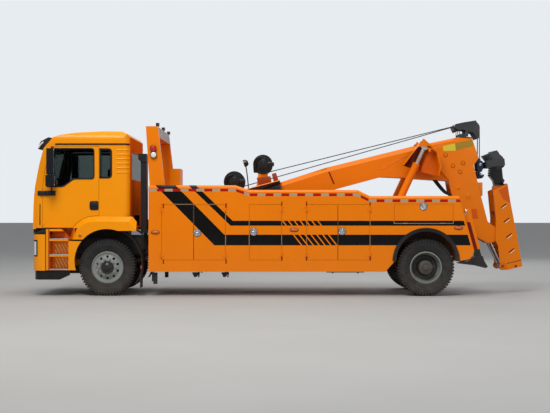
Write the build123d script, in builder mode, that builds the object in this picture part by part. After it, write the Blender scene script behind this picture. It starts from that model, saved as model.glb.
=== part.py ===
from build123d import *
import math
import os

os.makedirs("parts", exist_ok=True)

# Frame of the part: x forward, y to the left, z up, millimetres, origin on the ground
# below the middle of the box around the truck.

# Stance
front_axle_x = 3215
wheelbase = 5850
rear_axle_x = front_axle_x - wheelbase
wheel_z = 522
track_front = 2040
twin_inner_y = 755
twin_outer_y = 1095
body_half = 1250

# Fits
shaft_gap = 0.3
moving_gap = 5

# Tyres and rims
tyre_radius = 522
tyre_width = 298
bead_radius = 292
rim_seat = 291.5
hub_bore = 45
kingpin_y = 880

# Frame rails and subframe
rail_outer = 425
rail_flange = 80
rail_web = 12
rail_bottom = 750
rail_top = 1050
rail_rear = -3300
rail_front = 4150
subframe_outer = 365
subframe_inner = 285
subframe_top = 1200

# Cab: its walls stand at shell_half, its fenders, steps and bumper at cab_half
cab_half = 1240
shell_half = 1140
cab_rear = 2803
cab_floor = 1248
cab_wall = 50
cab_hinge_x = 4330
cab_hinge_z = 850
hinge_pin_radius = 25

# Lockers
well_half = 600
locker_wall = 30
door_thickness = 25
door_depth = 30
rail_level_front = 2030
rail_level_middle = 1945
rail_level_rear = 1835
rail_strip = 60
rail_width = 60
door_low = 660
door_high = 1680
flap_low = 1333
flap_high = 1688
door_hinge_out = 12
door_knuckle_radius = 11
door_pin_radius = 6

# Boom, mast and luff cylinders
boom_pivot_x = 250
boom_pivot_z = 1650
boom_half = 240
mast_plate = 30
mast_half = boom_half + mast_plate
boom_pin_radius = 50
luff_y = 510
luff_foot_x = -1730
luff_foot_z = 700
luff_eye_x = -2700
luff_eye_z = 2790
luff_barrel_radius = 68
luff_rod_radius = 45
luff_barrel_length = 1560
luff_pin_radius = 35

# Underlift
fold_pivot_x = -4184
fold_pivot_z = 952
fold_pin_radius = 35
fold_top_x = -3565
fold_top_z = 1849
fold_eye_x = -4232
fold_eye_z = 507
fold_y = 185
fold_barrel_radius = 44
fold_rod_radius = 27
fold_barrel_length = 800
arm_plate_inner = 280
arm_plate_outer = 305
arm_lean = 6
arm_head_x = -4146.5
arm_head_z = 2480
arm_half = 90
arm_tube_wall = 20
arm_tube_gap = 0.3

# Stabilizer legs
leg_y = 1000
leg_tube = 150
leg_wall = 12
leg_gap = 0.4
leg_lean = 15.23

# Lean of the rear edge of the lockers, forward per unit of height
rear_lean = (3514 - 3236) / (rail_level_rear - 814)

sides = {"left": 1, "right": -1}


def outline_sketch(points, high):
    with BuildSketch(Plane.XZ.offset(-high)) as outline:
        with BuildLine():
            Polyline(*points, close=True)
        make_face()
    return outline.sketch


def plate(points, low, high, mode=Mode.ADD):
    """Plate with a side outline of (x, z) points, from y = low to y = high."""
    extrude(outline_sketch(points, high), amount=high - low, mode=mode)


def pair_plate(points, low, high, mode=Mode.ADD):
    """The same plate on both sides of the truck."""
    plate(points, low, high, mode)
    plate(points, -high, -low, mode)


def rounded_plate(corners, low, high, shrink=0, mode=Mode.ADD):
    """Plate from (x, z, corner radius) rows, drawn in by a constant margin."""
    with BuildSketch(Plane.XZ.offset(-high)) as outline:
        with BuildLine():
            Polyline(*[(x, z) for x, z, radius in corners], close=True)
        make_face()
        for x, z, radius in corners:
            if radius:
                fillet(outline.vertices().sort_by_distance((x, z)).first, radius)
        if shrink:
            offset(amount=-shrink, kind=Kind.INTERSECTION)
    extrude(outline.sketch, amount=high - low, mode=mode)


def bar(x, z, radius, low, high, mode=Mode.ADD):
    """Round bar across the truck, from y = low to y = high."""
    with BuildSketch(Plane.XZ.offset(-high)) as disc:
        with Locations((x, z)):
            Circle(radius)
    extrude(disc.sketch, amount=high - low, mode=mode)


def pair_bar(x, z, radius, low, high, mode=Mode.ADD):
    bar(x, z, radius, low, high, mode)
    bar(x, z, radius, -high, -low, mode)


def block(x_low, x_high, y_low, y_high, z_low, z_high, mode=Mode.ADD):
    """Plain block between six planes."""
    centre = ((x_low + x_high) / 2, (y_low + y_high) / 2, (z_low + z_high) / 2)
    with Locations(centre):
        Box(x_high - x_low, y_high - y_low, z_high - z_low, mode=mode)


def pair_block(x_low, x_high, y_low, y_high, z_low, z_high, mode=Mode.ADD):
    block(x_low, x_high, y_low, y_high, z_low, z_high, mode)
    block(x_low, x_high, -y_high, -y_low, z_low, z_high, mode)


def side_span(sign, near, far):
    """Low and high y of a span given as distances from the middle of the truck."""
    return sorted((sign * near, sign * far))


def upright_pin(x, y, radius, low, high, mode=Mode.ADD):
    with BuildSketch(Plane.XY.offset(low)) as disc:
        with Locations((x, y)):
            Circle(radius)
    extrude(disc.sketch, amount=high - low, mode=mode)


def finish(builder, node):
    builder.part.label = node
    export_step(builder.part, f"parts/{node}.step")


# Chassis frame: two channel rails, cross members, cab hinge brackets and cylinder feet
rail_section = [
    (rail_outer - rail_flange, rail_bottom),
    (rail_outer, rail_bottom),
    (rail_outer, rail_top),
    (rail_outer - rail_flange, rail_top),
    (rail_outer - rail_flange, rail_top - rail_web),
    (rail_outer - rail_web, rail_top - rail_web),
    (rail_outer - rail_web, rail_bottom + rail_web),
    (rail_outer - rail_flange, rail_bottom + rail_web),
]
web_inner = rail_outer - rail_web
cross_member_x = [-3285, -2050, -500, 600, 1700, 4080]
luff_foot_width = 120
foot_plate = 10
with BuildPart() as chassis_frame:
    for sign in sides.values():
        with BuildSketch(Plane.YZ.offset(rail_rear)):
            with BuildLine():
                Polyline(*[(sign * y, z) for y, z in rail_section], close=True)
            make_face()
        extrude(amount=rail_front - rail_rear)
    for x in cross_member_x:
        block(x - 15, x + 15, -web_inner, web_inner, rail_bottom + 150, rail_top - 40)
    pair_plate(
        [(4050, 760), (4300, 790), (4390, 850), (4300, 910), (4050, 1040)],
        rail_outer - rail_flange + 5,
        rail_outer,
    )
    pair_bar(cab_hinge_x, cab_hinge_z, hinge_pin_radius, rail_outer - 40, 478)
    foot_low = luff_foot_z - 100
    pair_block(
        luff_foot_x - luff_foot_width,
        luff_foot_x + luff_foot_width,
        rail_outer,
        rail_outer + foot_plate,
        foot_low,
        rail_top - 50,
    )
    pair_block(
        luff_foot_x - luff_foot_width,
        luff_foot_x + luff_foot_width,
        rail_outer,
        well_half - 5,
        foot_low - foot_plate,
        foot_low,
    )
    pair_block(
        luff_foot_x - luff_foot_width,
        luff_foot_x + luff_foot_width,
        well_half - 5 - foot_plate,
        well_half - 5,
        foot_low,
        luff_foot_z + 60,
    )
    pair_bar(luff_foot_x, luff_foot_z, luff_pin_radius, rail_outer, well_half - 5)
finish(chassis_frame, "chassis_frame")

# Subframe: long members on the rails, outriggers to the lockers, boom foot with its pin
outrigger_x = [2200, 1350, -150, -1000, -3200]
foot_half_length = 150
with BuildPart() as subframe:
    pair_block(rail_rear, 2400, subframe_inner, subframe_outer, rail_top, subframe_top)
    for x in outrigger_x:
        pair_block(x - 40, x + 40, subframe_outer, well_half, rail_top + 20, subframe_top - 20)
    for x in outrigger_x:
        block(x - 30, x + 30, -subframe_inner, subframe_inner, rail_top + 20, subframe_top - 20)
    pair_plate(
        [
            (boom_pivot_x - 320, subframe_top),
            (boom_pivot_x + 320, subframe_top),
            (boom_pivot_x + foot_half_length, boom_pivot_z - 40),
            (boom_pivot_x + foot_half_length * 0.6, boom_pivot_z + 130),
            (boom_pivot_x - foot_half_length * 0.6, boom_pivot_z + 130),
            (boom_pivot_x - foot_half_length, boom_pivot_z - 40),
        ],
        subframe_inner,
        subframe_outer - 20,
    )
    bar(boom_pivot_x, boom_pivot_z, boom_pin_radius, -subframe_inner, subframe_inner)
finish(subframe, "subframe")

# Engine block, gearbox and propeller shaft
engine_half = 330
engine_rear = 2950
engine_front = 3950
gearbox_half = 200
gearbox_rear = 2300
# Columns: rear x, front x, half width, low z, high z
driveline_blocks = [
    (engine_rear, engine_front, engine_half, 640, 1330),
    (gearbox_rear, engine_rear, gearbox_half, 700, 1100),
]
# Columns: rear x, front x, inner y
driveline_mounts = [(3500, 3600, engine_half), (2500, 2560, gearbox_half)]
mount_low = 860
mount_high = 940
with BuildPart() as driveline:
    for rear, front, half, low, high in driveline_blocks:
        block(rear, front, -half, half, low, high)
    for rear, front, inner in driveline_mounts:
        pair_block(rear, front, inner, web_inner, mount_low, mount_high)
    shaft_start = Vector(gearbox_rear, 0, 850)
    shaft_end = Vector(rear_axle_x + 304, 0, wheel_z + 60)
    shaft_run = shaft_end - shaft_start
    with BuildSketch(Plane(origin=shaft_start, z_dir=shaft_run)):
        Circle(55)
    extrude(amount=shaft_run.length)
finish(driveline, "driveline")

# Front axle beam and rear axle
kingpin_boss_radius = 62
spring_y = 385
spring_width = 70
front_seat_z = 545
axle_tube_radius = 75
spindle_end_y = twin_outer_y + 85
with BuildPart() as axle_beams:
    front_beam = [(-760, 560), (-640, 545), (-480, 420), (480, 420), (640, 545), (760, 560)]
    front_beam_low = [(760, 450), (640, 435), (480, 330), (-480, 330), (-640, 435), (-760, 450)]
    with BuildSketch(Plane.YZ.offset(front_axle_x - 50)):
        with BuildLine():
            Polyline(*(front_beam + front_beam_low), close=True)
        make_face()
    extrude(amount=100)
    for sign in sides.values():
        y_low, y_high = side_span(sign, 740, kingpin_y)
        block(front_axle_x - 45, front_axle_x + 45, y_low, y_high, 460, 550)
    pair_block(front_axle_x - 55, front_axle_x + 55, spring_y, spring_y + spring_width, 400, front_seat_z)
    for sign in sides.values():
        with BuildSketch(Plane.XY.offset(460)):
            with Locations((front_axle_x, sign * kingpin_y)):
                Circle(kingpin_boss_radius - 2)
        extrude(amount=90)
        with BuildSketch(Plane.XY.offset(400)):
            with Locations((front_axle_x, sign * kingpin_y)):
                Circle(22)
        extrude(amount=210)
    bar(rear_axle_x, wheel_z, axle_tube_radius, -560, 560)
    bar(rear_axle_x, wheel_z, 40, -spindle_end_y, spindle_end_y)
    with Locations((rear_axle_x, 0, wheel_z)):
        Sphere(215)
    block(rear_axle_x + 180, rear_axle_x + 300, -70, 70, wheel_z - 30, wheel_z + 90)
# Leaf springs: stepped packs that seat on the axles and hang from the rails
# Columns: axle x, axle seat z, half length, leaf count, leaf thickness, top leaf end z
spring_table = [
    (front_axle_x, front_seat_z, 780, 4, 18, 700),
    (rear_axle_x, wheel_z + axle_tube_radius + 0.3, 600, 7, 16, 735),
]
with BuildPart() as leaf_springs:
    add(axle_beams.part)
    for axle_x, seat_z, half_length, leaves, leaf, end_z in spring_table:
        top_z = seat_z + leaves * leaf
        for index in range(leaves):
            low_z = seat_z + index * leaf
            reach = half_length * (0.35 + 0.65 * (index + 1) / leaves)
            rise = (end_z - top_z) * (reach / half_length) ** 2
            middle = reach * 0.45
            bow = rise * 0.2
            leaf_side = [
                (axle_x - reach, low_z + rise),
                (axle_x - middle, low_z + bow),
                (axle_x + middle, low_z + bow),
                (axle_x + reach, low_z + rise),
                (axle_x + reach, low_z + leaf + rise),
                (axle_x + middle, low_z + leaf + bow),
                (axle_x - middle, low_z + leaf + bow),
                (axle_x - reach, low_z + leaf + rise),
            ]
            pair_plate(leaf_side, spring_y, spring_y + spring_width)
        pair_block(
            axle_x - 60,
            axle_x + 60,
            spring_y,
            spring_y + spring_width,
            seat_z,
            top_z + 25,
        )
        for end in (-1, 1):
            end_x = axle_x + end * (half_length - 20)
            pair_block(end_x - 20, end_x + 20, spring_y, rail_outer, end_z - 5, rail_bottom)
finish(leaf_springs, "axles_and_springs")

# Front bumper: a shell that wraps the corners, with the lower apron
bumper_front = 4581
bumper_wall = 40
bumper_low = 467
bumper_high = 1130
bumper_corner = 190
step_front = 4324
step_rear = 3915
lamp_low = 741
lamp_high = 1007
lamp_inner_y = 985
lamp_rear_x = 4498
lip_outline = [(4330, 467), (3895, 467), (3895, 385), (4080, 300), (4330, 300)]
lip_inset = 25


def bumper_shell(low, high, shrink, wall):
    """U-shaped shell around the nose, between two heights."""
    depth = bumper_front - shrink - step_front
    with BuildSketch(Plane.XY.offset(low)) as ring:
        with Locations((step_front + depth / 2 - bumper_corner, 0)):
            RectangleRounded(
                depth + 2 * bumper_corner,
                2 * (cab_half - shrink),
                bumper_corner - shrink,
            )
        with Locations((step_front + depth / 2 - bumper_corner, 0)):
            RectangleRounded(
                depth + 2 * bumper_corner - 2 * wall,
                2 * (cab_half - shrink - wall),
                bumper_corner - shrink - wall,
                mode=Mode.SUBTRACT,
            )
        with Locations((step_front - 500, 0)):
            Rectangle(1000, 3000, mode=Mode.SUBTRACT)
    extrude(ring.sketch, amount=high - low)


tow_bore_radius = 20
tow_bore_x = 4562
tow_jaw_low = 350
tow_jaw_high = 430
tow_jaw_radius = 34
tow_pocket_half = 70
tow_bar_half = 150
with BuildPart() as front_bumper:
    bumper_shell(bumper_low, bumper_high, 0, bumper_wall)
    bumper_shell(300, bumper_low, lip_inset, bumper_wall)
    pair_plate(lip_outline, cab_half - lip_inset - bumper_wall, cab_half - lip_inset)
    pair_block(lamp_rear_x, 4600, lamp_inner_y, 1300, lamp_low, lamp_high, Mode.SUBTRACT)
    pair_block(4000, bumper_front - bumper_wall, rail_outer - 70, rail_outer - 10, 660, rail_bottom)
    block(4500, 4600, -tow_pocket_half, tow_pocket_half, 290, bumper_low, Mode.SUBTRACT)
    block(4485, 4535, -tow_bar_half, tow_bar_half, tow_jaw_low, tow_jaw_high)
    with BuildSketch(Plane.XY.offset(tow_jaw_low)) as tow_jaw:
        with Locations((tow_bore_x, 0)):
            Circle(tow_jaw_radius)
        with Locations((tow_bore_x - 30, 0)):
            Rectangle(60, 2 * tow_jaw_radius)
        with Locations((tow_bore_x, 0)):
            Circle(tow_bore_radius, mode=Mode.SUBTRACT)
    extrude(tow_jaw.sketch, amount=tow_jaw_high - tow_jaw_low)
finish(front_bumper, "front_bumper")

# Headlamps, set into the corners of the bumper shell
with BuildPart() as head_lamps:
    bumper_shell(lamp_low + shaft_gap, lamp_high - shaft_gap, 0, bumper_wall)
    lamp_edge = lamp_inner_y + shaft_gap
    block(step_front, 4600, -lamp_edge, lamp_edge, lamp_low, lamp_high, Mode.SUBTRACT)
    block(step_front, lamp_rear_x + shaft_gap, -1300, 1300, lamp_low, lamp_high, Mode.SUBTRACT)

# Wheel arch of the front wheels
arch_z = 640
arch_radius = 590
fender_split = 1007

# Nearest point of the fenders to the cab's tilt axis: the steps stay inside this radius, the cab outside it
cab_sweep_radius = 468


def outside_sweep(radius, z_low, y_low, y_high, mode=Mode.ADD):
    """Both sides' strip behind the steps that lies outside a circle about the cab's tilt axis."""
    for low, high in ((y_low, y_high), (-y_high, -y_low)):
        with BuildSketch(Plane.XZ.offset(-high)) as strip:
            with Locations(((sweep_rear + sweep_front) / 2, (z_low + sweep_top) / 2)):
                Rectangle(sweep_front - sweep_rear, sweep_top - z_low)
            with Locations((cab_hinge_x, cab_hinge_z)):
                Circle(radius, mode=Mode.SUBTRACT)
        extrude(strip.sketch, amount=high - low, mode=mode)


sweep_rear = 3835
sweep_front = 4100
sweep_top = cab_floor + 5
# Step boxes below the doors, carried by the front of the rails
step_low = 474
step_inner = 930
tread_table = [493, 761, 1048]
step_back_wall = 20
with BuildPart() as step_boxes:
    for sign in sides.values():
        y_low, y_high = side_span(sign, step_inner, cab_half)
        block(step_rear - 60, step_front, y_low, y_high, step_low, 1228)
        y_low, y_high = side_span(sign, step_inner + step_back_wall, cab_half)
        for low, high in zip(tread_table, tread_table[1:]):
            block(step_rear, step_front - 60, y_low, y_high, low, high - 38, Mode.SUBTRACT)
        block(step_rear, step_front - 60, y_low, y_high, tread_table[-1], 1190, Mode.SUBTRACT)
        y_low, y_high = side_span(sign, rail_outer, step_inner)
        block(4060, 4110, y_low, y_high, 880, 960)
        skin_low, skin_high = side_span(sign, cab_half - 40, cab_half)
        plate(
            [
                (step_rear - 60, fender_split),
                (3600, fender_split),
                (3600, step_low),
                (step_rear - 60, step_low),
            ],
            skin_low,
            skin_high,
        )
    pair_plate(
        [(step_rear + 5, 1300), (step_rear + 5, fender_split), (3700, fender_split), (3700, 1300)],
        step_inner - 10,
        1300,
        mode=Mode.SUBTRACT,
    )
    pair_bar(front_axle_x, arch_z, arch_radius, 880, 1300, mode=Mode.SUBTRACT)
    pair_block(3000, 3600, 1150, 1300, 300, 1300, mode=Mode.SUBTRACT)
    outside_sweep(cab_sweep_radius - moving_gap, fender_split, 900, 1300, Mode.SUBTRACT)
finish(step_boxes, "step_boxes")

# Mudguards behind the front wheels, rear arch trims and flaps
guard_radius = 640
guard_thickness = 12
guard_inner = 860
rear_arch_z = 635
rear_arch_radius = 580
trim_outer_radius = 615
trim_inner_radius = 550
with BuildPart() as mudguards:
    for sign in sides.values():
        y_low, y_high = side_span(sign, guard_inner, cab_half - 10)
        with BuildSketch(Plane.XZ.offset(-y_high)) as guard:
            with Locations((front_axle_x, arch_z - 40)):
                Circle(guard_radius + guard_thickness)
                Circle(guard_radius, mode=Mode.SUBTRACT)
            with Locations((front_axle_x + 710, arch_z)):
                Rectangle(2000, 3000, mode=Mode.SUBTRACT)
            with Locations((front_axle_x, -500)):
                Rectangle(3000, 1460, mode=Mode.SUBTRACT)
        extrude(guard.sketch, amount=y_high - y_low)
        block(2594, 2606, y_low, y_high, 150, 420)
        y_low, y_high = side_span(sign, rail_outer, guard_inner)
        block(2590, 2640, y_low, y_high, 800, 840)
    for sign in sides.values():
        y_low, y_high = side_span(sign, body_half, body_half + 18)
        with BuildSketch(Plane.XZ.offset(-y_high)) as trim:
            with Locations((rear_axle_x, rear_arch_z)):
                Circle(trim_outer_radius)
                Circle(trim_inner_radius, mode=Mode.SUBTRACT)
            with Locations((rear_axle_x, rear_arch_z - 600)):
                Rectangle(1400, 1210, mode=Mode.SUBTRACT)
        extrude(trim.sketch, amount=y_high - y_low)
finish(mudguards, "mudguards")


def ring_profile(points, x, sign, y_middle, z):
    """Solid of revolution about a wheel's axle from (radius, offset outward) points."""
    with BuildSketch(Plane(origin=(x, 0, z), x_dir=(1, 0, 0), z_dir=(0, 0, 1))) as half:
        with BuildLine():
            Polyline(*[(r, sign * (y_middle + out)) for r, out in points], close=True)
        make_face()
    revolve(half.sketch, axis=Axis((x, 0, z), (0, 1, 0)))


half_tyre = tyre_width / 2
# Columns: radius, offset from the tyre's middle
tyre_profile = [
    (bead_radius, -half_tyre + 35),
    (400, -half_tyre),
    (470, -half_tyre + 6),
    (tyre_radius - 8, -half_tyre + 28),
    (tyre_radius, -half_tyre + 60),
    (tyre_radius, half_tyre - 60),
    (tyre_radius - 8, half_tyre - 28),
    (470, half_tyre - 6),
    (400, half_tyre),
    (bead_radius, half_tyre - 35),
]
# Columns: radius, offset from the tyre's middle; disc and hub stand out at the front
front_rim_profile = [
    (hub_bore, 60),
    (120, 60),
    (120, 95),
    (215, 70),
    (262, 40),
    (262, -105),
    (rim_seat, -112),
    (rim_seat, 112),
    (279, 116),
    (272, 90),
    (225, 84),
    (170, 128),
    (118, 136),
    (105, 188),
    (hub_bore, 192),
]
rear_bore = 40 + shaft_gap
rear_outer_profile = [
    (rear_bore, -85),
    (230, -85),
    (250, -112),
    (rim_seat, -112),
    (rim_seat, 112),
    (276, 116),
    (262, 60),
    (252, -40),
    (215, -66),
    (150, -72),
    (138, 30),
    (118, 52),
    (rear_bore, 60),
]
rear_inner_profile = [
    (rear_bore, 85),
    (230, 85),
    (250, 112),
    (rim_seat, 112),
    (rim_seat, -112),
    (262, -112),
    (252, 40),
    (225, 70),
    (rear_bore, 72),
]
hand_holes = 10
hand_hole_radius = 24
hand_hole_circle = 196
for side, sign in sides.items():
    front_y = track_front / 2
    with BuildPart() as front_tyre:
        ring_profile(tyre_profile, front_axle_x, sign, front_y, wheel_z)
    finish(front_tyre, f"front_tyre_{side}")

    with BuildPart() as front_rim:
        ring_profile(front_rim_profile, front_axle_x, sign, front_y, wheel_z)
        rim_face = Plane(origin=(front_axle_x, sign * front_y, wheel_z), z_dir=(0, sign, 0))
        with Locations(rim_face.offset(100)):
            with PolarLocations(hand_hole_circle, hand_holes):
                Cylinder(hand_hole_radius, 120, mode=Mode.SUBTRACT)
    finish(front_rim, f"front_rim_{side}")

    with BuildPart() as rear_tyres:
        ring_profile(tyre_profile, rear_axle_x, sign, twin_inner_y, wheel_z)
        ring_profile(tyre_profile, rear_axle_x, sign, twin_outer_y, wheel_z)
    finish(rear_tyres, f"rear_tyres_{side}")

    with BuildPart() as rear_rims:
        ring_profile(rear_outer_profile, rear_axle_x, sign, twin_outer_y, wheel_z)
        ring_profile(rear_inner_profile, rear_axle_x, sign, twin_inner_y, wheel_z)
        disc_face = Plane(origin=(rear_axle_x, sign * (twin_inner_y + 85), wheel_z), z_dir=(0, sign, 0))
        with Locations(disc_face):
            with Locations((0, 0, 85)):
                Cylinder(150, 180)
                Cylinder(rear_bore, 500, mode=Mode.SUBTRACT)
    finish(rear_rims, f"rear_rims_{side}")

    with BuildPart() as knuckle:
        y_low, y_high = side_span(sign, kingpin_y - 35, kingpin_y + 35)
        for low, high in ((400, 459.5), (550.5, 610)):
            with BuildSketch(Plane.XY.offset(low)) as fork:
                with Locations((front_axle_x, sign * kingpin_y)):
                    Circle(kingpin_boss_radius - 10)
                    Circle(22 + shaft_gap, mode=Mode.SUBTRACT)
            extrude(fork.sketch, amount=high - low)
        y_low, y_high = side_span(sign, kingpin_y + kingpin_boss_radius + 2, 975)
        bar(front_axle_x, wheel_z, 150, y_low, y_high)
        y_low, y_high = side_span(sign, kingpin_y + 15, kingpin_y + kingpin_boss_radius + 3)
        for low, high in ((400, 459.5), (550.5, 610)):
            block(front_axle_x - 40, front_axle_x + 40, y_low, y_high, low, high)
        with BuildSketch(Plane.XY.offset(390)) as clear_pin:
            with Locations((front_axle_x, sign * kingpin_y)):
                Circle(22 + shaft_gap)
        extrude(clear_pin.sketch, amount=240, mode=Mode.SUBTRACT)
        y_low, y_high = side_span(sign, 970, front_y + 185)
        bar(front_axle_x, wheel_z, hub_bore - shaft_gap, y_low, y_high)
    finish(knuckle, f"knuckle_{side}")


# Cab: the space between side, plan and front outlines, drawn in by an inset
cab_side = [
    (cab_rear, cab_floor),
    (4540, cab_floor),
    (4540, 1900),
    (4566, 1900),
    (4562, 1969),
    (4470, 2408),
    (4392, 2711),
    (4209, 2926),
    (4100, 2960),
    (3800, 3006),
    (3310, 3036),
    (2955, 3028),
    (2870, 2992),
    (cab_rear, 2925),
]


cab_top = 3036
cab_corner = 150
roof_corner = 160


def cab_form(inset):
    with BuildPart() as form:
        with BuildSketch(Plane.XZ.offset(-shell_half)):
            with BuildLine():
                Polyline(*cab_side, close=True)
            make_face()
            if inset:
                offset(amount=-inset, kind=Kind.INTERSECTION)
        extrude(amount=2 * shell_half)
        with BuildSketch(Plane.XY.offset(cab_floor - 10)):
            with Locations(((cab_rear + 4598) / 2, 0)):
                RectangleRounded(4598 - cab_rear - 2 * inset, 2 * (shell_half - inset), cab_corner - inset)
        extrude(amount=2000, mode=Mode.INTERSECT)
        with BuildSketch(Plane.YZ.offset(cab_rear - 10)):
            with Locations((0, cab_top - 1000)):
                RectangleRounded(2 * (shell_half - inset), 2000 - 2 * inset, roof_corner - inset)
        extrude(amount=2000, mode=Mode.INTERSECT)
    return form.part


# Door outline and glass outlines in side view
door_front = 4404
door_rear = 3373
door_outline = [
    (door_front, 1255),
    (door_front, 1980),
    (4370, 2270),
    (4268, 2700),
    (4225, 2745),
    (door_rear, 2745),
    (door_rear, 1472),
    (3450, 1472),
    (3575, 1456),
    (3690, 1404),
    (3800, 1320),
    (3851, 1255),
]
# Corners of the openings, columns: x, z, corner radius
window_corners = [
    (4322, 2009, 12),
    (4303, 2270, 0),
    (4225, 2620, 40),
    (4180, 2706, 30),
    (3464, 2706, 55),
    (3464, 2153, 50),
    (3835, 2153, 150),
    (4030, 2009, 150),
]
quarter_corners = [
    (3330, 2690, 12),
    (3152, 2690, 50),
    (3152, 2185, 50),
    (3330, 2185, 12),
]
screen_half = 950
screen_low = 1985
screen_high = 2700
rear_pane_half = 800
rear_pane_low = 2150
rear_pane_high = 2650
# Door hinges, whose knuckles stand just outside the front edge of the door
door_hinge_x = 4410
door_hinge_y = shell_half + 9
door_hinge_radius = 8
door_hinge_pin = 4.5
door_hinge_length = 60
door_hinge_lug = 20
door_hinge_levels = (1340, 1860)
cab_room = cab_form(cab_wall)
hinge_lug_radius = 50


def grown(points, amount):
    """The same outline, larger by a constant margin."""
    with BuildSketch() as larger:
        with BuildLine():
            Polyline(*points, close=True)
        make_face()
        if amount:
            offset(amount=amount, kind=Kind.INTERSECTION)
    corners = [edge.position_at(0) for edge in larger.sketch.face().outer_wire().edges()]
    return [(point.X, point.Y) for point in corners]


# Fender outline behind the step and over the wheel, and the slope of its top
fender_outline = [
    (2677, 1195),
    (2677, 1357),
    (2760, 1455),
    (3446, 1462),
    (3568, 1447),
    (3680, 1396),
    (3790, 1312),
    (3842, 1248),
    (3901, 1037),
    (3300, 1037),
    (3300, 1195),
]
liner_outline = [
    (2677, 1195),
    (2677, 1300),
    (3780, 1300),
    (3850, 1040),
    (3300, 1040),
    (3300, 1195),
]
fender_outer = cab_half + 5
fender_slope = 95
fender_wall = 12


def fender_form(inset):
    """One fender, with the upper edge of its outer face sloped."""
    with BuildPart() as form:
        plate(grown(fender_outline, -inset), shell_half - 40 + inset, fender_outer - inset)
        face_y = fender_outer - inset
        face_edges = form.edges().filter_by_position(Axis.Y, face_y - 1, face_y + 1)
        crown = [edge for edge in face_edges if edge.center().Z > 1240 + inset or edge.center().X > 3700]
        crown = [edge for edge in crown if edge.center().X > 2677 + 2 * inset and edge.center().Z > 1100]
        chamfer(crown, fender_slope)
    return form.part


with BuildPart() as cab_shell:
    add(cab_form(0))
    add(cab_room, mode=Mode.SUBTRACT)
    block(2803, 4250, -470, 470, cab_floor, 1530)
    block(2803, 4200, -420, 420, cab_floor - 10, 1480, Mode.SUBTRACT)
    fender = fender_form(0)
    fender_room = fender_form(fender_wall)
    for lean in (fender, fender.mirror(Plane.XZ)):
        add(lean)
    pair_plate(liner_outline, 900, shell_half - 40)
    outside_sweep(cab_sweep_radius, 1040, step_inner, step_inner + step_back_wall)
    for lean in (fender_room, fender_room.mirror(Plane.XZ)):
        add(lean, mode=Mode.SUBTRACT)
    pair_bar(front_axle_x, arch_z, arch_radius, 880, 1300, mode=Mode.SUBTRACT)
    door_hole_inner = shell_half - cab_wall - 5
    pair_plate(grown(door_outline, moving_gap), door_hole_inner, shell_half + 20, mode=Mode.SUBTRACT)
    for sign in sides.values():
        y_low, y_high = side_span(sign, door_hole_inner, shell_half + 20)
        rounded_plate(quarter_corners, y_low, y_high, mode=Mode.SUBTRACT)
    block(4200, 4700, -screen_half, screen_half, screen_low, screen_high, Mode.SUBTRACT)
    block(2700, 2900, -rear_pane_half, rear_pane_half, rear_pane_low, rear_pane_high, Mode.SUBTRACT)
    for sign in sides.values():
        for level in door_hinge_levels:
            for step in (-1, 1):
                near = level + step * (door_hinge_length / 2 + shaft_gap)
                z_low, z_high = sorted((near, near + step * door_hinge_lug))
                upright_pin(door_hinge_x, sign * door_hinge_y, door_hinge_radius, z_low, z_high)
                y_low, y_high = side_span(sign, shell_half - 1, door_hinge_y)
                block(door_hinge_x, door_hinge_x + 34, y_low, y_high, z_low, z_high)
            reach = door_hinge_length / 2 + 2
            upright_pin(door_hinge_x, sign * door_hinge_y, door_hinge_pin, level - reach, level + reach)
    for sign in sides.values():
        y_low, y_high = side_span(sign, 433, 470)
        with BuildSketch(Plane.XZ.offset(-y_high)) as lug:
            with Locations((cab_hinge_x, cab_hinge_z)):
                Circle(hinge_lug_radius)
            with BuildLine():
                Polyline(
                    (cab_hinge_x + 40, cab_hinge_z + 30),
                    (4215, cab_floor + 5),
                    (4000, cab_floor + 5),
                    (cab_hinge_x - 42, cab_hinge_z - 27),
                    close=True,
                )
            make_face()
            with Locations((cab_hinge_x, cab_hinge_z)):
                Circle(hinge_pin_radius + shaft_gap, mode=Mode.SUBTRACT)
        extrude(lug.sketch, amount=y_high - y_low)
finish(cab_shell, "cab_shell")

# Front panel with its grille slots
panel_rear = 4540 + shaft_gap
panel_half = 1080
panel_outline = [(panel_rear, 1226), (4598, 1226), (4587, 1669), (4572, 1895), (panel_rear, 1895)]
with BuildPart() as front_panel:
    with BuildSketch(Plane.XZ.offset(-panel_half)):
        with BuildLine():
            Polyline(*panel_outline, close=True)
        make_face()
    extrude(amount=2 * panel_half)
    for z in range(1330, 1720, 95):
        block(4500, 4620, -700, 700, z, z + 40, Mode.SUBTRACT)
finish(front_panel, "front_panel")

# Windscreen, quarter and rear panes
with BuildPart() as cab_glass:
    with BuildSketch(Plane.XZ.offset(-screen_half + shaft_gap)):
        with BuildLine():
            Polyline(
                (4553, screen_low + shaft_gap),
                (4539, screen_low + shaft_gap),
                (4451, 2408),
                (4376, screen_high - shaft_gap),
                (4390, screen_high - shaft_gap),
                (4465, 2408),
                close=True,
            )
        make_face()
    extrude(amount=2 * (screen_half - shaft_gap))
    for sign in sides.values():
        y_low, y_high = side_span(sign, shell_half - 22, shell_half - 12)
        rounded_plate(quarter_corners, y_low, y_high, shaft_gap)
    pane_half = rear_pane_half - shaft_gap
    pane_low = rear_pane_low + shaft_gap
    pane_high = rear_pane_high - shaft_gap
    block(cab_rear + 10, cab_rear + 20, -pane_half, pane_half, pane_low, pane_high)
finish(cab_glass, "cab_glass")

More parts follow.
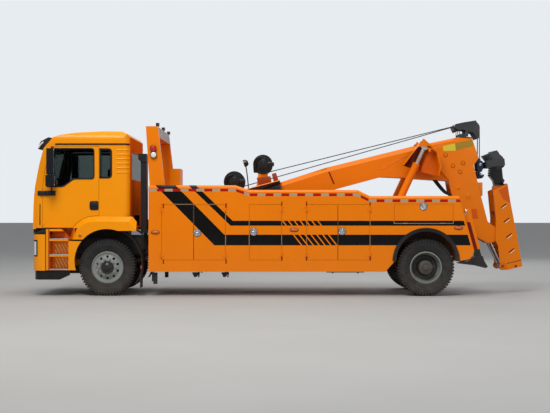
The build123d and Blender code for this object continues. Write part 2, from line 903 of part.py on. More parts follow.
# Sun visor above the windscreen
visor_half = 990
visor_tip = (4530, 2722)
visor_brow = (4474, 2850)
visor_outline = [(4224.2, 2908.6), (4392.2, 2711.2), (4500, 2700), visor_tip, visor_brow, (4330, 2926)]
with BuildPart() as sun_visor:
    with BuildSketch(Plane.XZ.offset(-visor_half)) as visor:
        with BuildLine():
            Polyline(*visor_outline, close=True)
        make_face()
        fillet(visor.vertices().sort_by_distance(visor_tip).first, 20)
        fillet(visor.vertices().sort_by_distance(visor_brow).first, 70)
    extrude(visor.sketch, amount=2 * visor_half)
finish(sun_visor, "sun_visor")

# Seats, dashboard and steering wheel
seat_y = 580
seat_half = 230
headrest_half = 120
seat_floor = cab_floor + 50
cushion_low = 1700
backrest_top = 2330
backrest_outline = [
    (3180, cushion_low),
    (3290, cushion_low),
    (3250, backrest_top),
    (3150, backrest_top),
]
headrest_outline = [(3140, backrest_top), (3240, backrest_top), (3220, 2520), (3130, 2520)]
dash_half = 1070
dash_outline = [(4485, 1700), (4485, 2020), (4330, 2060), (4130, 2000), (4100, 1880), (4250, 1760)]
with BuildPart() as seats:
    for sign in sides.values():
        y_low, y_high = side_span(sign, seat_y - seat_half, seat_y + seat_half)
        block(3250, 3720, y_low, y_high, cushion_low, cushion_low + 110)
        plate(backrest_outline, y_low, y_high)
        y_low, y_high = side_span(sign, seat_y - headrest_half, seat_y + headrest_half)
        plate(headrest_outline, y_low, y_high)
        y_low, y_high = side_span(sign, seat_y - 100, seat_y + 180)
        block(3260, 3700, y_low, y_high, seat_floor, cushion_low)

with BuildPart() as cab_interior:
    add(seats.part)
    with BuildSketch(Plane.XZ.offset(-dash_half)):
        with BuildLine():
            Polyline(*dash_outline, close=True)
        make_face()
    extrude(amount=2 * dash_half)
    pair_block(4420, 4490 - shaft_gap, 900, 1000, 1600, 1710)
    column = Plane(origin=(4180, seat_y, 1860), z_dir=(-0.5, 0, 0.86))
    with BuildSketch(column):
        Circle(35)
    extrude(amount=230)
    with Locations(column.offset(230)):
        Torus(215, 16)
        for angle in (0, 120, 240):
            with Locations(Rotation(0, 0, angle)):
                with Locations((0, 110, 0)):
                    Box(40, 215, 14)
finish(cab_interior, "cab_interior")

# Mirrors, columns: low x, high x, nearest and farthest y from the cab wall, low z, high z
mirror_table = [
    (4152, 4283, 90, 300, 2233, 2696),
    (4139, 4298, 90, 300, 2010, 2210),
    (4200, 4225, -10, 150, 2712, 2738),
    (4200, 4225, -10, 150, 1880, 1906),
    (4200, 4225, 125, 150, 1880, 2738),
]


def mirror_housing(sign):
    """Main and wide-angle mirror with their upper and lower arm, carried by the door."""
    for x_low, x_high, near, far, z_low, z_high in mirror_table:
        y_low, y_high = side_span(sign, shell_half + near, shell_half + far)
        block(x_low, x_high, y_low, y_high, z_low, z_high)


# Cab doors with their mirrors, and the door glass
for side, sign in sides.items():
    with BuildPart() as cab_door:
        y_low, y_high = side_span(sign, shell_half - cab_wall, shell_half)
        plate(door_outline, y_low, y_high)
        y_low, y_high = side_span(sign, shell_half - cab_wall - 1, shell_half + 1)
        rounded_plate(window_corners, y_low, y_high, mode=Mode.SUBTRACT)
        y_low, y_high = side_span(sign, shell_half - 1, shell_half + 28)
        block(3395, 3531, y_low, y_high, 1640, 1665)
        for level in door_hinge_levels:
            z_low, z_high = level - door_hinge_length / 2, level + door_hinge_length / 2
            y_low, y_high = side_span(sign, shell_half - 1, door_hinge_y)
            block(door_hinge_x - 50, door_hinge_x - door_hinge_radius, y_low, y_high, z_low, z_high)
            y_low, y_high = side_span(sign, shell_half + 1, door_hinge_y)
            block(door_hinge_x - 10, door_hinge_x, y_low, y_high, z_low, z_high)
            upright_pin(door_hinge_x, sign * door_hinge_y, door_hinge_radius, z_low, z_high)
            pin_bore = door_hinge_pin + shaft_gap
            upright_pin(door_hinge_x, sign * door_hinge_y, pin_bore, z_low - 1, z_high + 1, Mode.SUBTRACT)
        mirror_housing(sign)
    finish(cab_door, f"cab_door_{side}")

    with BuildPart() as door_glass:
        y_low, y_high = side_span(sign, shell_half - 25, shell_half - 17)
        rounded_plate(window_corners, y_low, y_high, shaft_gap)
    finish(door_glass, f"door_glass_{side}")


# Locker bodies: hollow cabinets with a rail along the top and the rear wheel arch
locker_front = 2447
locker_low = 445
body_outline = [
    (locker_front, locker_low),
    (locker_front, rail_level_front - rail_strip),
    (858, rail_level_front - rail_strip),
    (603, rail_level_middle - rail_strip),
    (-1376, rail_level_middle - rail_strip),
    (-1604, rail_level_rear - rail_strip),
    (-3236 - rear_lean * rail_strip, rail_level_rear - rail_strip),
    (-3514, 814),
    (-3435, 680),
    (-3240, 643),
    (-3215, 635),
    (-2055, 635),
    (-1909, 470),
    (-1900, locker_low),
]
rail_outline = [
    (locker_front, rail_level_front - rail_strip),
    (locker_front, rail_level_front),
    (858, rail_level_front),
    (603, rail_level_middle),
    (-1376, rail_level_middle),
    (-1604, rail_level_rear),
    (-3236, rail_level_rear),
    (-3236 - rear_lean * rail_strip, rail_level_rear - rail_strip),
    (-1604, rail_level_rear - rail_strip),
    (-1376, rail_level_middle - rail_strip),
    (603, rail_level_middle - rail_strip),
    (858, rail_level_front - rail_strip),
]
# Locker openings, columns: name, hinge x, free x (the hinge is on the outer edge of a pair)
door_table = [
    ("front_a", 2211, 1626),
    ("front_b", 1038, 1616),
    ("middle", 11, 603),
    ("rear_a", -447, -1014),
    ("rear_b", -1607, -1024),
]
# Rooms behind the doors, columns: low x, high x, low z, high z
room_table = [
    (1038, 2211, door_low, door_high),
    (11, 603, door_low, door_high),
    (-1607, -447, door_low, door_high),
    (-3130, -2048, flap_low, flap_high),
]
# The rooms themselves run past the door frames, columns as above
inner_room_table = [
    (880, 2410, locker_low + locker_wall, 1930),
    (-220, 800, locker_low + locker_wall, 1845),
    (-1850, -280, locker_low + locker_wall, 1735),
    (-3200, -1990, 1280, 1735),
]
flap_front = -2048
flap_rear = -3130
hinge_axis_y = body_half + door_hinge_out
hinge_length = 60
hinge_lug = 15
hinge_levels = [door_low + 90, door_high - 90]
flap_hinge_x = [flap_front - 200, flap_rear + 200]
strap_thickness = 6


def long_pin(x_low, x_high, y, z, radius, mode=Mode.ADD):
    with BuildSketch(Plane.YZ.offset(x_low)) as disc:
        with Locations((y, z)):
            Circle(radius)
    extrude(disc.sketch, amount=x_high - x_low, mode=mode)


rail_bevel = 38


def rail_form(sign):
    """Square rail along the top of a locker body, bevelled along its upper outer edge."""
    with BuildPart() as rail:
        y_low, y_high = side_span(sign, body_half - rail_width, body_half)
        plate(rail_outline, y_low, y_high)
        outer = sign * body_half
        upper = [
            edge
            for edge in rail.edges().filter_by_position(Axis.Y, outer - 1, outer + 1)
            if rail_height(edge.center().X) - edge.center().Z < 5 and edge.length > 100
        ]
        chamfer(upper, rail_bevel)
    return rail.part


def rail_height(x):
    """Level of the rail's top at a place along the truck."""
    top = rail_outline[1:7]
    for (front_x, front_z), (back_x, back_z) in zip(top, top[1:]):
        if back_x <= x <= front_x:
            return front_z + (back_z - front_z) * (front_x - x) / (front_x - back_x)
    return 0


for side, sign in sides.items():
    with BuildPart() as locker_body:
        y_low, y_high = side_span(sign, well_half, body_half)
        plate(body_outline, y_low, y_high)
        add(rail_form(sign))
        y_low, y_high = side_span(sign, well_half - 1, body_half + 1)
        bar(rear_axle_x, rear_arch_z, rear_arch_radius, y_low, y_high, Mode.SUBTRACT)
        for x_low, x_high, z_low, z_high in room_table:
            y_low, y_high = side_span(sign, body_half - door_depth, body_half + 1)
            block(x_low, x_high, y_low, y_high, z_low, z_high, Mode.SUBTRACT)
            y_low, y_high = side_span(sign, well_half + locker_wall, body_half)
            block(x_low + 30, x_high - 30, y_low, y_high, z_low + 25, z_high - 25, Mode.SUBTRACT)
        for x_low, x_high, z_low, z_high in inner_room_table:
            y_low, y_high = side_span(sign, well_half + locker_wall, body_half - door_depth - 25)
            block(x_low, x_high, y_low, y_high, z_low, z_high, Mode.SUBTRACT)
        for name, hinge_x, free_x in door_table:
            away = 1 if hinge_x > free_x else -1
            x_low, x_high = sorted((hinge_x, hinge_x + away * 45))
            for level in hinge_levels:
                for step in (-1, 1):
                    lug_far = level + step * (hinge_length / 2 + 1 + hinge_lug)
                    lug_near = level + step * (hinge_length / 2 + 1)
                    z_low, z_high = sorted((lug_far, lug_near))
                    upright_pin(hinge_x, sign * hinge_axis_y, door_knuckle_radius, z_low, z_high)
                    y_low, y_high = side_span(sign, body_half, body_half + strap_thickness)
                    block(x_low, x_high, y_low, y_high, z_low, z_high)
                reach = hinge_length / 2 + 2
                upright_pin(hinge_x, sign * hinge_axis_y, door_pin_radius, level - reach, level + reach)
        for x in flap_hinge_x:
            for step in (-1, 1):
                x_low, x_high = sorted((x + step * 31, x + step * (31 + hinge_lug)))
                long_pin(x_low, x_high, sign * hinge_axis_y, flap_low, door_knuckle_radius)
                y_low, y_high = side_span(sign, body_half, body_half + strap_thickness)
                block(x_low, x_high, y_low, y_high, flap_low - 45, flap_low)
            long_pin(x - 32, x + 32, sign * hinge_axis_y, flap_low, door_pin_radius)
    finish(locker_body, f"locker_body_{side}")

    for name, hinge_x, free_x in door_table:
        inward = 1 if free_x > hinge_x else -1
        with BuildPart() as locker_door:
            free_gap = moving_gap if name == "middle" else 0
            x_low, x_high = sorted((hinge_x + inward * moving_gap, free_x - inward * free_gap))
            y_low, y_high = side_span(sign, body_half - door_thickness, body_half)
            block(x_low, x_high, y_low, y_high, door_low + moving_gap, door_high - moving_gap)
            for level in hinge_levels:
                z_low, z_high = level - hinge_length / 2, level + hinge_length / 2
                x_low, x_high = sorted((hinge_x, hinge_x + inward * 50))
                y_low, y_high = side_span(sign, body_half, body_half + strap_thickness)
                block(x_low, x_high, y_low, y_high, z_low, z_high)
                upright_pin(hinge_x, sign * hinge_axis_y, door_knuckle_radius, z_low, z_high)
                pin_bore = door_pin_radius + shaft_gap
                upright_pin(hinge_x, sign * hinge_axis_y, pin_bore, z_low - 1, z_high + 1, Mode.SUBTRACT)
        finish(locker_door, f"locker_door_{name}_{side}")

    with BuildPart() as locker_flap:
        y_low, y_high = side_span(sign, body_half - door_thickness, body_half)
        x_low, x_high = flap_rear + moving_gap, flap_front - moving_gap
        block(x_low, x_high, y_low, y_high, flap_low + moving_gap, flap_high - moving_gap)
        for x in flap_hinge_x:
            y_low, y_high = side_span(sign, body_half, body_half + strap_thickness)
            block(x - 30, x + 30, y_low, y_high, flap_low, flap_low + 50)
            long_pin(x - 30, x + 30, sign * hinge_axis_y, flap_low, door_knuckle_radius)
            bore_radius = door_pin_radius + shaft_gap
            long_pin(x - 31, x + 31, sign * hinge_axis_y, flap_low, bore_radius, Mode.SUBTRACT)
    finish(locker_flap, f"locker_flap_{side}")

# Deck between the lockers ahead of the boom
deck_top = rail_level_front - rail_strip
deck_rear = 1310
with BuildPart() as deck:
    block(deck_rear, locker_front - 20, -well_half, well_half, deck_top - 30, deck_top)
    pair_block(deck_rear, locker_front - 20, well_half - 60, well_half, deck_top - 90, deck_top - 30)
finish(deck, "deck")

# Lamp gantry behind the cab, and the hydraulic oil tank on the right of the deck
gantry_top = 3116
gantry_half = 1240
gantry_rear_low = 2152
beacon_radius = 55
gantry_leg = [(2430, deck_top), (2504, gantry_top), (2287, gantry_top), (gantry_rear_low, deck_top)]
oil_tank_rear = 1993
oil_tank_front = 2195
oil_tank_right = -960
oil_tank_left = -350
oil_tank_top = 2396
with BuildPart() as lamp_gantry:
    pair_plate(gantry_leg, gantry_half - 120 - rail_width, gantry_half - rail_width)
    plate(
        [(2490, 2916), (2504, gantry_top), (2287, gantry_top), (2262, 2916)],
        -gantry_half + rail_width,
        gantry_half - rail_width,
    )
    block(oil_tank_rear, oil_tank_front, oil_tank_right, oil_tank_left, deck_top, oil_tank_top)
finish(lamp_gantry, "gantry_and_oil_tank")

# Beacons on the gantry and rear lamps on the lockers
# Columns: x, z
beacon_table = [(2365, 2706), (2358, 2589)]
beacon_depth = 40
work_lamp_x = 2292
work_lamp_y = 1110
work_lamp_length = 60
work_lamp_width = 90
work_lamp_height = 62
with BuildPart() as lamps:
    add(head_lamps.part)
    lamp_face = gantry_half - rail_width
    for x, z in beacon_table:
        pair_bar(x, z, beacon_radius, lamp_face, lamp_face + beacon_depth)
    for y in (-work_lamp_y, 0, work_lamp_y):
        with Locations((work_lamp_x, y, gantry_top + work_lamp_height / 2)):
            Box(work_lamp_length, work_lamp_width, work_lamp_height)
    for sign in sides.values():
        y_low, y_high = side_span(sign, 760, 900)
        rear_x = -3236 - rear_lean * (rail_level_rear - 1500)
        plate(
            [
                (rear_x, 1500),
                (rear_x - 45, 1488),
                (rear_x - 45 + rear_lean * 220, 1708),
                (rear_x + rear_lean * 220, 1720),
            ],
            y_low,
            y_high,
        )
finish(lamps, "lamps")

# Air and fuel tanks below the rails, with straps and drain cocks
tank_y = 475
tank_radius = 112
# Columns: low x, high x, centre z, drain z
tank_table = [(950, 1700, 560, 345), (-1560, -840, 507, 380)]
with BuildPart() as tanks:
    for x_low, x_high, z, drain_z in tank_table:
        for sign in sides.values():
            long_pin(x_low, x_high, sign * tank_y, z, tank_radius)
            for x in (x_low + 120, x_high - 120):
                y_low, y_high = side_span(sign, rail_outer - 50, rail_outer)
                block(x - 20, x + 20, y_low, y_high, z + tank_radius - 30, rail_bottom)
                block(x - 15, x + 15, *side_span(sign, tank_y - 15, tank_y + 15), drain_z, z)
finish(tanks, "tanks")

# Air intake column behind the cab, on the left rail
intake_rear = 2530
intake_front = 2640
intake_inner = 560
intake_outer = 800
intake_foot = 1150
intake_neck = 2480
hood_front = 2685
intake_top = 2630
intake_hood = [
    (intake_rear, intake_neck),
    (intake_front, intake_neck),
    (hood_front, intake_neck + 50),
    (hood_front, intake_top),
    (intake_rear, intake_top),
]
bracket_low = 980
bracket_size = 60
with BuildPart() as air_intake:
    block(intake_rear, intake_front, intake_inner, intake_outer, intake_foot, intake_neck)
    plate(intake_hood, intake_inner - 20, intake_outer + 20)
    bracket_front = intake_rear + 10 + bracket_size
    foot_outer = intake_inner + bracket_size
    block(intake_rear + 10, bracket_front, rail_outer, foot_outer, bracket_low, bracket_low + bracket_size)
    block(intake_rear + 10, bracket_front, intake_inner, foot_outer, bracket_low, intake_foot)
finish(air_intake, "air_intake")

# Boom and mast: a box boom between two mast plates, winch deck at the front
boom_outline = [
    (560, 1905),
    (430, 1620),
    (340, 1520),
    (160, 1505),
    (-1078, 1993),
    (-1901, 2216),
    (-2312, 2198),
    (-3193, 2140),
    (-3230, 1990),
    (-3700, 1990),
    (-3668, 2436),
    (-3766, 2573),
    (-3640, 2951),
    (-3341, 2970),
    (-2888, 2876),
    (-2544, 2812),
    (-855, 2396),
    (-12, 2127),
]
mast_outline = [
    (-2650, 2770),
    (-3193, 2158),
    (-3238, 1899),
    (-3758, 1044),
    (-3908, 968),
    (-3958, 939),
    (-4092, 987),
    (-4150, 880),
    (-4200, 860),
    (-4262, 910),
    (-4268, 985),
    (-4210, 1040),
    (-4104, 1233),
    (-3938, 1361),
    (-3819, 1812),
    (-3668, 2436),
    (-3766, 2573),
    (-3640, 2951),
    (-3278, 2897),
]
winch_deck = [(660, 1900), (660, 1990), (35, 2158), (35, 2080), (540, 1900)]
winch_cradle = [(1110, 1868), (1110, 1895), (690, 1925), (660, 1990), (540, 1990), (540, 1862)]
winch_one_x = 364
winch_one_z = 2454
winch_two_x = 912
winch_two_z = 2122
winch_shaft_radius = 40
cheek_width = 16
hood_outline = [
    (-2671, 2930),
    (-2285, 2432),
    (-2640, 2300),
    (-2964, 2226),
    (-3008, 2396),
    (-2934, 2698),
]
hood_inner = 424
hood_outer = 596
eye_room_radius = 112
luff_angle = math.degrees(math.atan2(luff_eye_z - luff_foot_z, luff_eye_x - luff_foot_x))
fold_angle = math.degrees(math.atan2(fold_eye_z - fold_top_z, fold_eye_x - fold_top_x))


def along(x, z, angle, distance):
    """Point at a distance from (x, z) in the side view."""
    return (
        x + distance * math.cos(math.radians(angle)),
        z + distance * math.sin(math.radians(angle)),
    )


with BuildPart() as boom_arm:
    plate(boom_outline, -boom_half, boom_half)
    pair_plate(mast_outline, boom_half, mast_half)
    plate(winch_deck, -390, 390)
    plate(winch_cradle, -390, 390)
    bar(fold_top_x, fold_top_z, fold_pin_radius, -mast_half, mast_half)
    bar(boom_pivot_x, boom_pivot_z, boom_pin_radius + shaft_gap, -300, 300, Mode.SUBTRACT)
    bore_radius = fold_pin_radius + shaft_gap
    pair_bar(fold_pivot_x, fold_pivot_z, bore_radius, boom_half - 5, mast_half + 5, Mode.SUBTRACT)
    # Supports of the winches
    for x, z in ((winch_one_x, winch_one_z), (winch_two_x, winch_two_z)):
        floor_z = 1875 if x == winch_two_x else 2000
        pair_plate(
            [(x + 130, floor_z), (x + 60, z + 40), (x - 60, z + 40), (x - 130, floor_z + 25)],
            205,
            205 + cheek_width,
        )
        pair_bar(x, z, winch_shaft_radius + shaft_gap, 200, 225, Mode.SUBTRACT)
    # Hoods over the eyes of the luff cylinders
    pair_plate([(-2640, 2480), (-2850, 2440), (-2850, 2700), (-2700, 2720)], boom_half, hood_inner + 5)
    pair_plate(hood_outline, hood_inner, hood_outer)
    for sign in sides.values():
        y_low, y_high = side_span(sign, hood_inner + cheek_width, hood_outer - cheek_width)
        with BuildSketch(Plane.XZ.offset(-y_high)) as eye_room:
            middle = along(luff_eye_x, luff_eye_z, luff_angle + 180, 350)
            with Locations(middle):
                SlotCenterToCenter(700, 2 * eye_room_radius, rotation=luff_angle)
        extrude(eye_room.sketch, amount=y_high - y_low, mode=Mode.SUBTRACT)
finish(boom_arm, "boom_arm")

# Winches: drums with flanges, motors and gearboxes
# Columns: x, z, wound radius, flange radius
winch_table = [(winch_one_x, winch_one_z, 155, 185), (winch_two_x, winch_two_z, 114, 200)]
drum_half = 180
drum_flange = 24
motor_radius = 95
motor_start = 205 + cheek_width + shaft_gap
motor_end = 330
gearbox_radius = 75
gearbox_end = 340
with BuildPart() as winches:
    for x, z, wound, flange in winch_table:
        bar(x, z, wound, -drum_half, drum_half)
        bar(x, z, flange, -drum_half - drum_flange, -drum_half)
        bar(x, z, flange, drum_half, drum_half + drum_flange)
        bar(x, z, flange, -drum_flange / 2, drum_flange / 2)
        bar(x, z, motor_radius, motor_start, motor_end)
        bar(x, z, gearbox_radius, -gearbox_end, -motor_start)
        bar(x, z, winch_shaft_radius, -motor_start - 8, motor_start + 8)
finish(winches, "winches")

# Boom head: cheeks, cover, nose roller and sheaves
head_outline = [
    (-3295, 3166),
    (-3324, 3227),
    (-3478, 3262),
    (-3718, 3300),
    (-3789, 3185),
    (-3794, 2964),
    (-3746, 2945),
    (-3679, 3060),
    (-3574, 3108),
    (-3572, 2990),
    (-3400, 2990),
    (-3401, 3118),
    (-3343, 3080),
]
rope_y = 110
rope_radius = 9
nose_x = -3345
nose_z = 3150
nose_radius = 38
sheave_x = -3700
sheave_z = 3170
sheave_radius = 96
sheave_half = 28
head_inner = 205
head_outer = 225
middle_cheek_half = 12
head_cover = [(-3478, 3262), (-3718, 3300), (-3714, 3288), (-3480, 3250)]
head_foot = [(-3400, 2972), (-3400, 2992), (-3640, 2978), (-3640, 2958)]
with BuildPart() as boom_head:
    pair_plate(head_outline, head_inner, head_outer)
    plate(head_outline, -middle_cheek_half, middle_cheek_half)
    bar(nose_x, nose_z, nose_radius, -head_inner, head_inner)
    bar(sheave_x, sheave_z, 35, -head_inner, head_inner)
    for y in (-rope_y, rope_y):
        bar(sheave_x, sheave_z, sheave_radius, y - sheave_half, y + sheave_half)
    plate(head_cover, -head_outer, head_outer)
    plate(head_foot, -head_outer, head_outer)
finish(boom_head, "boom_head")

# Ropes from the winches over the head, with their hooks
hook_x = sheave_x - sheave_radius - rope_radius - shaft_gap
rope_turn = sheave_radius + rope_radius + shaft_gap
rope_lift = 4


def tangent_angle(x, z, radius, from_x, from_z):
    """Angle at which a line from a point touches a circle about (x, z)."""
    run = math.hypot(from_x - x, from_z - z)
    return math.atan2(from_z - z, from_x - x) + math.acos(radius / run)


def straight_rope(start, end, y):
    """Rope between two (x, z) points at one y."""
    first = Vector(start[0], y, start[1])
    run = Vector(end[0], y, end[1]) - first
    with BuildSketch(Plane(origin=first, z_dir=run)) as strand:
        Circle(rope_radius)
    extrude(strand.sketch, amount=run.length)


with BuildPart() as ropes:
    for (x, z, wound, flange), y in zip(winch_table, (rope_y, -rope_y)):
        nose_top = (nose_x, nose_z + nose_radius + rope_radius + rope_lift)
        off = wound + rope_radius + shaft_gap
        leave = tangent_angle(x, z, off, *nose_top)
        straight_rope((x + off * math.cos(leave), z + off * math.sin(leave)), nose_top, y)
        meet = tangent_angle(sheave_x, sheave_z, rope_turn, *nose_top)
        over = (sheave_x + rope_turn * math.cos(meet), sheave_z + rope_turn * math.sin(meet))
        straight_rope(nose_top, over, y)
        away = (-math.sin(meet), 0, math.cos(meet))
        with BuildSketch(Plane(origin=(over[0], y, over[1]), z_dir=away)) as strand:
            Circle(rope_radius)
        sheave_axis = Axis((sheave_x, y, sheave_z), (0, -1, 0))
        revolve(strand.sketch, axis=sheave_axis, revolution_arc=180 - math.degrees(meet))
        straight_rope((hook_x, sheave_z), (hook_x, 2570), y)
        upright_pin(hook_x, y, 22, 2440, 2575)
        block(hook_x - 20, hook_x + 20, y - 45, y + 45, 2330, 2442)
        with BuildSketch(Plane.YZ.offset(hook_x - 14)) as hook_form:
            with Locations((y, 2265)):
                Circle(75)
                Circle(38, mode=Mode.SUBTRACT)
            with Locations((y + 60, 2310)):
                Rectangle(60, 60, mode=Mode.SUBTRACT)
        extrude(hook_form.sketch, amount=28)
finish(ropes, "ropes_and_hooks")


def slanted(origin, angle, y):
    """Plane at one y whose normal runs along an angle of the side view."""
    direction = (math.cos(math.radians(angle)), 0, math.sin(math.radians(angle)))
    return Plane(origin=(origin[0], y, origin[1]), z_dir=direction)


def barrel_and_eye(foot, angle, y, radius, bore, length, eye_radius, pin_radius, half_eye):
    """Cylinder barrel with an eye at its foot, and a blind bore for the rod."""
    start = along(*foot, angle, eye_radius * 0.7)
    with BuildSketch(slanted(start, angle, y)) as tube:
        Circle(radius)
    extrude(tube.sketch, amount=length - eye_radius * 0.7)
    bar(*foot, eye_radius, y - half_eye, y + half_eye)
    bottom = along(*foot, angle, eye_radius + 30)
    with BuildSketch(slanted(bottom, angle, y)) as hollow:
        Circle(bore)
    extrude(hollow.sketch, amount=length, mode=Mode.SUBTRACT)
    bar(*foot, pin_radius + shaft_gap, y - half_eye - 1, y + half_eye + 1, Mode.SUBTRACT)


def rod_and_eye(eye, angle, y, radius, length, eye_radius, pin_radius, half_eye, half_pin):
    """Piston rod that ends in an eye with its pin."""
    start = along(*eye, angle + 180, length)
    with BuildSketch(slanted(start, angle, y)) as shaft:
        Circle(radius)
    extrude(shaft.sketch, amount=length - eye_radius * 0.5)
    bar(*eye, eye_radius, y - half_eye, y + half_eye)
    bar(*eye, pin_radius, y - half_pin, y + half_pin)


luff_rod_length = 1680
with BuildPart() as luff_barrels:
    for y in (luff_y, -luff_y):
        barrel_and_eye(
            (luff_foot_x, luff_foot_z),
            luff_angle,
            y,
            luff_barrel_radius,
            luff_rod_radius + shaft_gap,
            luff_barrel_length,
            75,
            luff_pin_radius,
            55,
        )
finish(luff_barrels, "luff_barrels")

with BuildPart() as luff_rods:
    for y in (luff_y, -luff_y):
        rod_and_eye(
            (luff_eye_x, luff_eye_z),
            luff_angle,
            y,
            luff_rod_radius,
            luff_rod_length,
            75,
            luff_pin_radius,
            50,
            62,
        )
finish(luff_rods, "luff_rods")

fold_rod_length = 820
with BuildPart() as fold_barrels:
    for y in (fold_y, -fold_y):
        barrel_and_eye(
            (fold_top_x, fold_top_z),
            fold_angle,
            y,
            fold_barrel_radius,
            fold_rod_radius + shaft_gap,
            fold_barrel_length,
            60,
            fold_pin_radius,
            42,
        )
finish(fold_barrels, "fold_barrels")

with BuildPart() as fold_rods:
    for y in (fold_y, -fold_y):
        rod_and_eye(
            (fold_eye_x, fold_eye_z),
            fold_angle,
            y,
            fold_rod_radius,
            fold_rod_length,
            55,
            30,
            40,
            64,
        )
finish(fold_rods, "fold_rods")

# Underlift fold arm: side plates, a sloping square tube and the webs between them
tube_half = arm_half + arm_tube_gap + arm_tube_wall
tube_bore = arm_half + arm_tube_gap
arm_plate_outline = [
    (-4038, 1951),
    (-4200, 2032),
    (-4309, 2087),
    (-4370, 1713),
    (-4507, 1004),
    (-4570, 630),
    (-4598, 505),
    (-4299, 432),
    (-4190, 450),
    (-4170, 520),
    (-4130, 900),
    (-4080, 1004),
    (-4090, 1421),
]


def arm_point(height, across):
    """Side-view point at a distance up the underlift's axis and across it."""
    cosine = math.cos(math.radians(arm_lean))
    sine = math.sin(math.radians(arm_lean))
    return (
        arm_head_x + height * sine + across * cosine,
        arm_head_z + height * cosine - across * sine,
    )


def arm_strip(low, high, across_low, across_high):
    return [
        arm_point(low, across_low),
        arm_point(high, across_low),
        arm_point(high, across_high),
        arm_point(low, across_high),
    ]


# Slots in the side plates, columns: centre x, centre z
slot_table = [(-4235, 1660), (-4290, 1388), (-4338, 1094), (-4386, 806)]
slot_length = 137
slot_width = 22
slot_rise = 37
tube_foot = -1950
tube_head = -430
with BuildPart() as fold_arm:
    plate(arm_strip(tube_foot, tube_head, -tube_half, tube_half), -tube_half, tube_half)
    pair_plate(arm_plate_outline, arm_plate_inner, arm_plate_outer)
    rear_sheet = [
        (-4309, 2087),
        (-4370, 1713),
        (-4507, 1004),
        (-4570, 630),
        (-4598, 505),
        (-4440, 467),
        (-4436, 480),
        (-4563, 512),
        (-4545, 632),
        (-4482, 1008),
        (-4345, 1717),
        (-4284, 2087),
    ]
    plate(rear_sheet, -arm_plate_outer, arm_plate_outer)
    for z in (1250, 1560, 1880):
        pair_block(-4345 - (1717 - z) * 0.193, -4110, tube_half - 3, arm_plate_inner + 2, z, z + 20)
    plate(arm_strip(tube_foot - 60, tube_foot, -tube_half, 20), -tube_half, tube_half)
    pair_plate([(-4560, 560), (-4380, 560), (-4380, 580), (-4556, 580)], tube_half - 3, arm_plate_inner + 2)
    pair_bar(fold_pivot_x, fold_pivot_z, fold_pin_radius, boom_half - 4, arm_plate_inner)
    plate(arm_strip(tube_foot, 0, -tube_bore, tube_bore), -tube_bore, tube_bore, Mode.SUBTRACT)
    for sign in sides.values():
        low, high = side_span(sign, arm_plate_inner - 5, arm_plate_outer + 5)
        with BuildSketch(Plane.XZ.offset(-high)) as slots:
            for x, z in slot_table:
                with Locations((x, z)):
                    SlotOverall(slot_length, slot_width, rotation=-slot_rise)
        extrude(slots.sketch, amount=high - low, mode=Mode.SUBTRACT)
finish(fold_arm, "fold_arm")

# Sliding inner arm with its head
arm_foot = -1930
head_radius = 92
head_axis = (math.cos(math.radians(arm_lean)), 0, -math.sin(math.radians(arm_lean)))
head_plane = Plane(origin=(arm_head_x, 0, arm_head_z), z_dir=head_axis)
head_pin_radius = 34
tongue_length = 150
with BuildPart() as inner_arm:
    plate(arm_strip(arm_foot, -tongue_length, -arm_half, arm_half), -arm_half, arm_half)
    plate(arm_strip(-tongue_length, 0, -arm_half, 0), -arm_half, arm_half)
    with BuildSketch(head_plane) as head_disc:
        Circle(head_radius)
    extrude(head_disc.sketch, amount=-arm_half)
    with BuildSketch(head_plane) as head_pin:
        Circle(head_pin_radius)
    extrude(head_pin.sketch, amount=118)
finish(inner_arm, "inner_arm")

# Crosshead: beam, bridge over the arm's head and fork sockets at its ends
socket_inner = 90
socket_wall = 18
beam_half = 450
beam_depth = 70
beam_front = 5
beam_rear = 125
bridge_half = 110
# Strips of the bridge, columns: low, high, front, rear
bridge_table = [
    (-beam_depth, beam_rear, beam_front, beam_rear),
    (beam_rear - 20, beam_rear, -beam_rear, beam_rear),
    (-beam_depth, beam_rear, -beam_rear, -95),
]
with BuildPart() as crosshead:
    plate(arm_strip(-beam_depth, beam_depth, beam_front, beam_rear), -beam_half, beam_half)
    for low, high, front, rear in bridge_table:
        plate(arm_strip(low, high, front, rear), -bridge_half, bridge_half)
    for sign in sides.values():
        outer = socket_inner / 2 + socket_wall
        y_low, y_high = side_span(sign, beam_half, beam_half + 2 * outer)
        plate(arm_strip(-outer, outer, -60, 290), y_low, y_high)
        y_low, y_high = side_span(sign, beam_half + socket_wall, beam_half + 2 * outer - socket_wall)
        half = socket_inner / 2
        plate(arm_strip(-half, half, -70, 300), y_low, y_high, Mode.SUBTRACT)
    with BuildSketch(head_plane) as head_bore:
        Circle(head_pin_radius + shaft_gap)
    extrude(head_bore.sketch, amount=140, mode=Mode.SUBTRACT)
finish(crosshead, "crosshead")

# Stabilizer legs: slanted tubes on the rear of the lockers, sliding legs with spade feet
lean_cosine = math.cos(math.radians(leg_lean))
lean_sine = math.sin(math.radians(leg_lean))


def leg_point(down, back):
    """Side-view point below and behind the top of the rear edge of the lockers."""
    return (
        -3236 - down * lean_sine - back * lean_cosine,
        rail_level_rear - down * lean_cosine + back * lean_sine,
    )


def leg_strip(down_low, down_high, back_low, back_high):
    return [
        leg_point(down_low, back_low),
        leg_point(down_high, back_low),
        leg_point(down_high, back_high),
        leg_point(down_low, back_high),
    ]


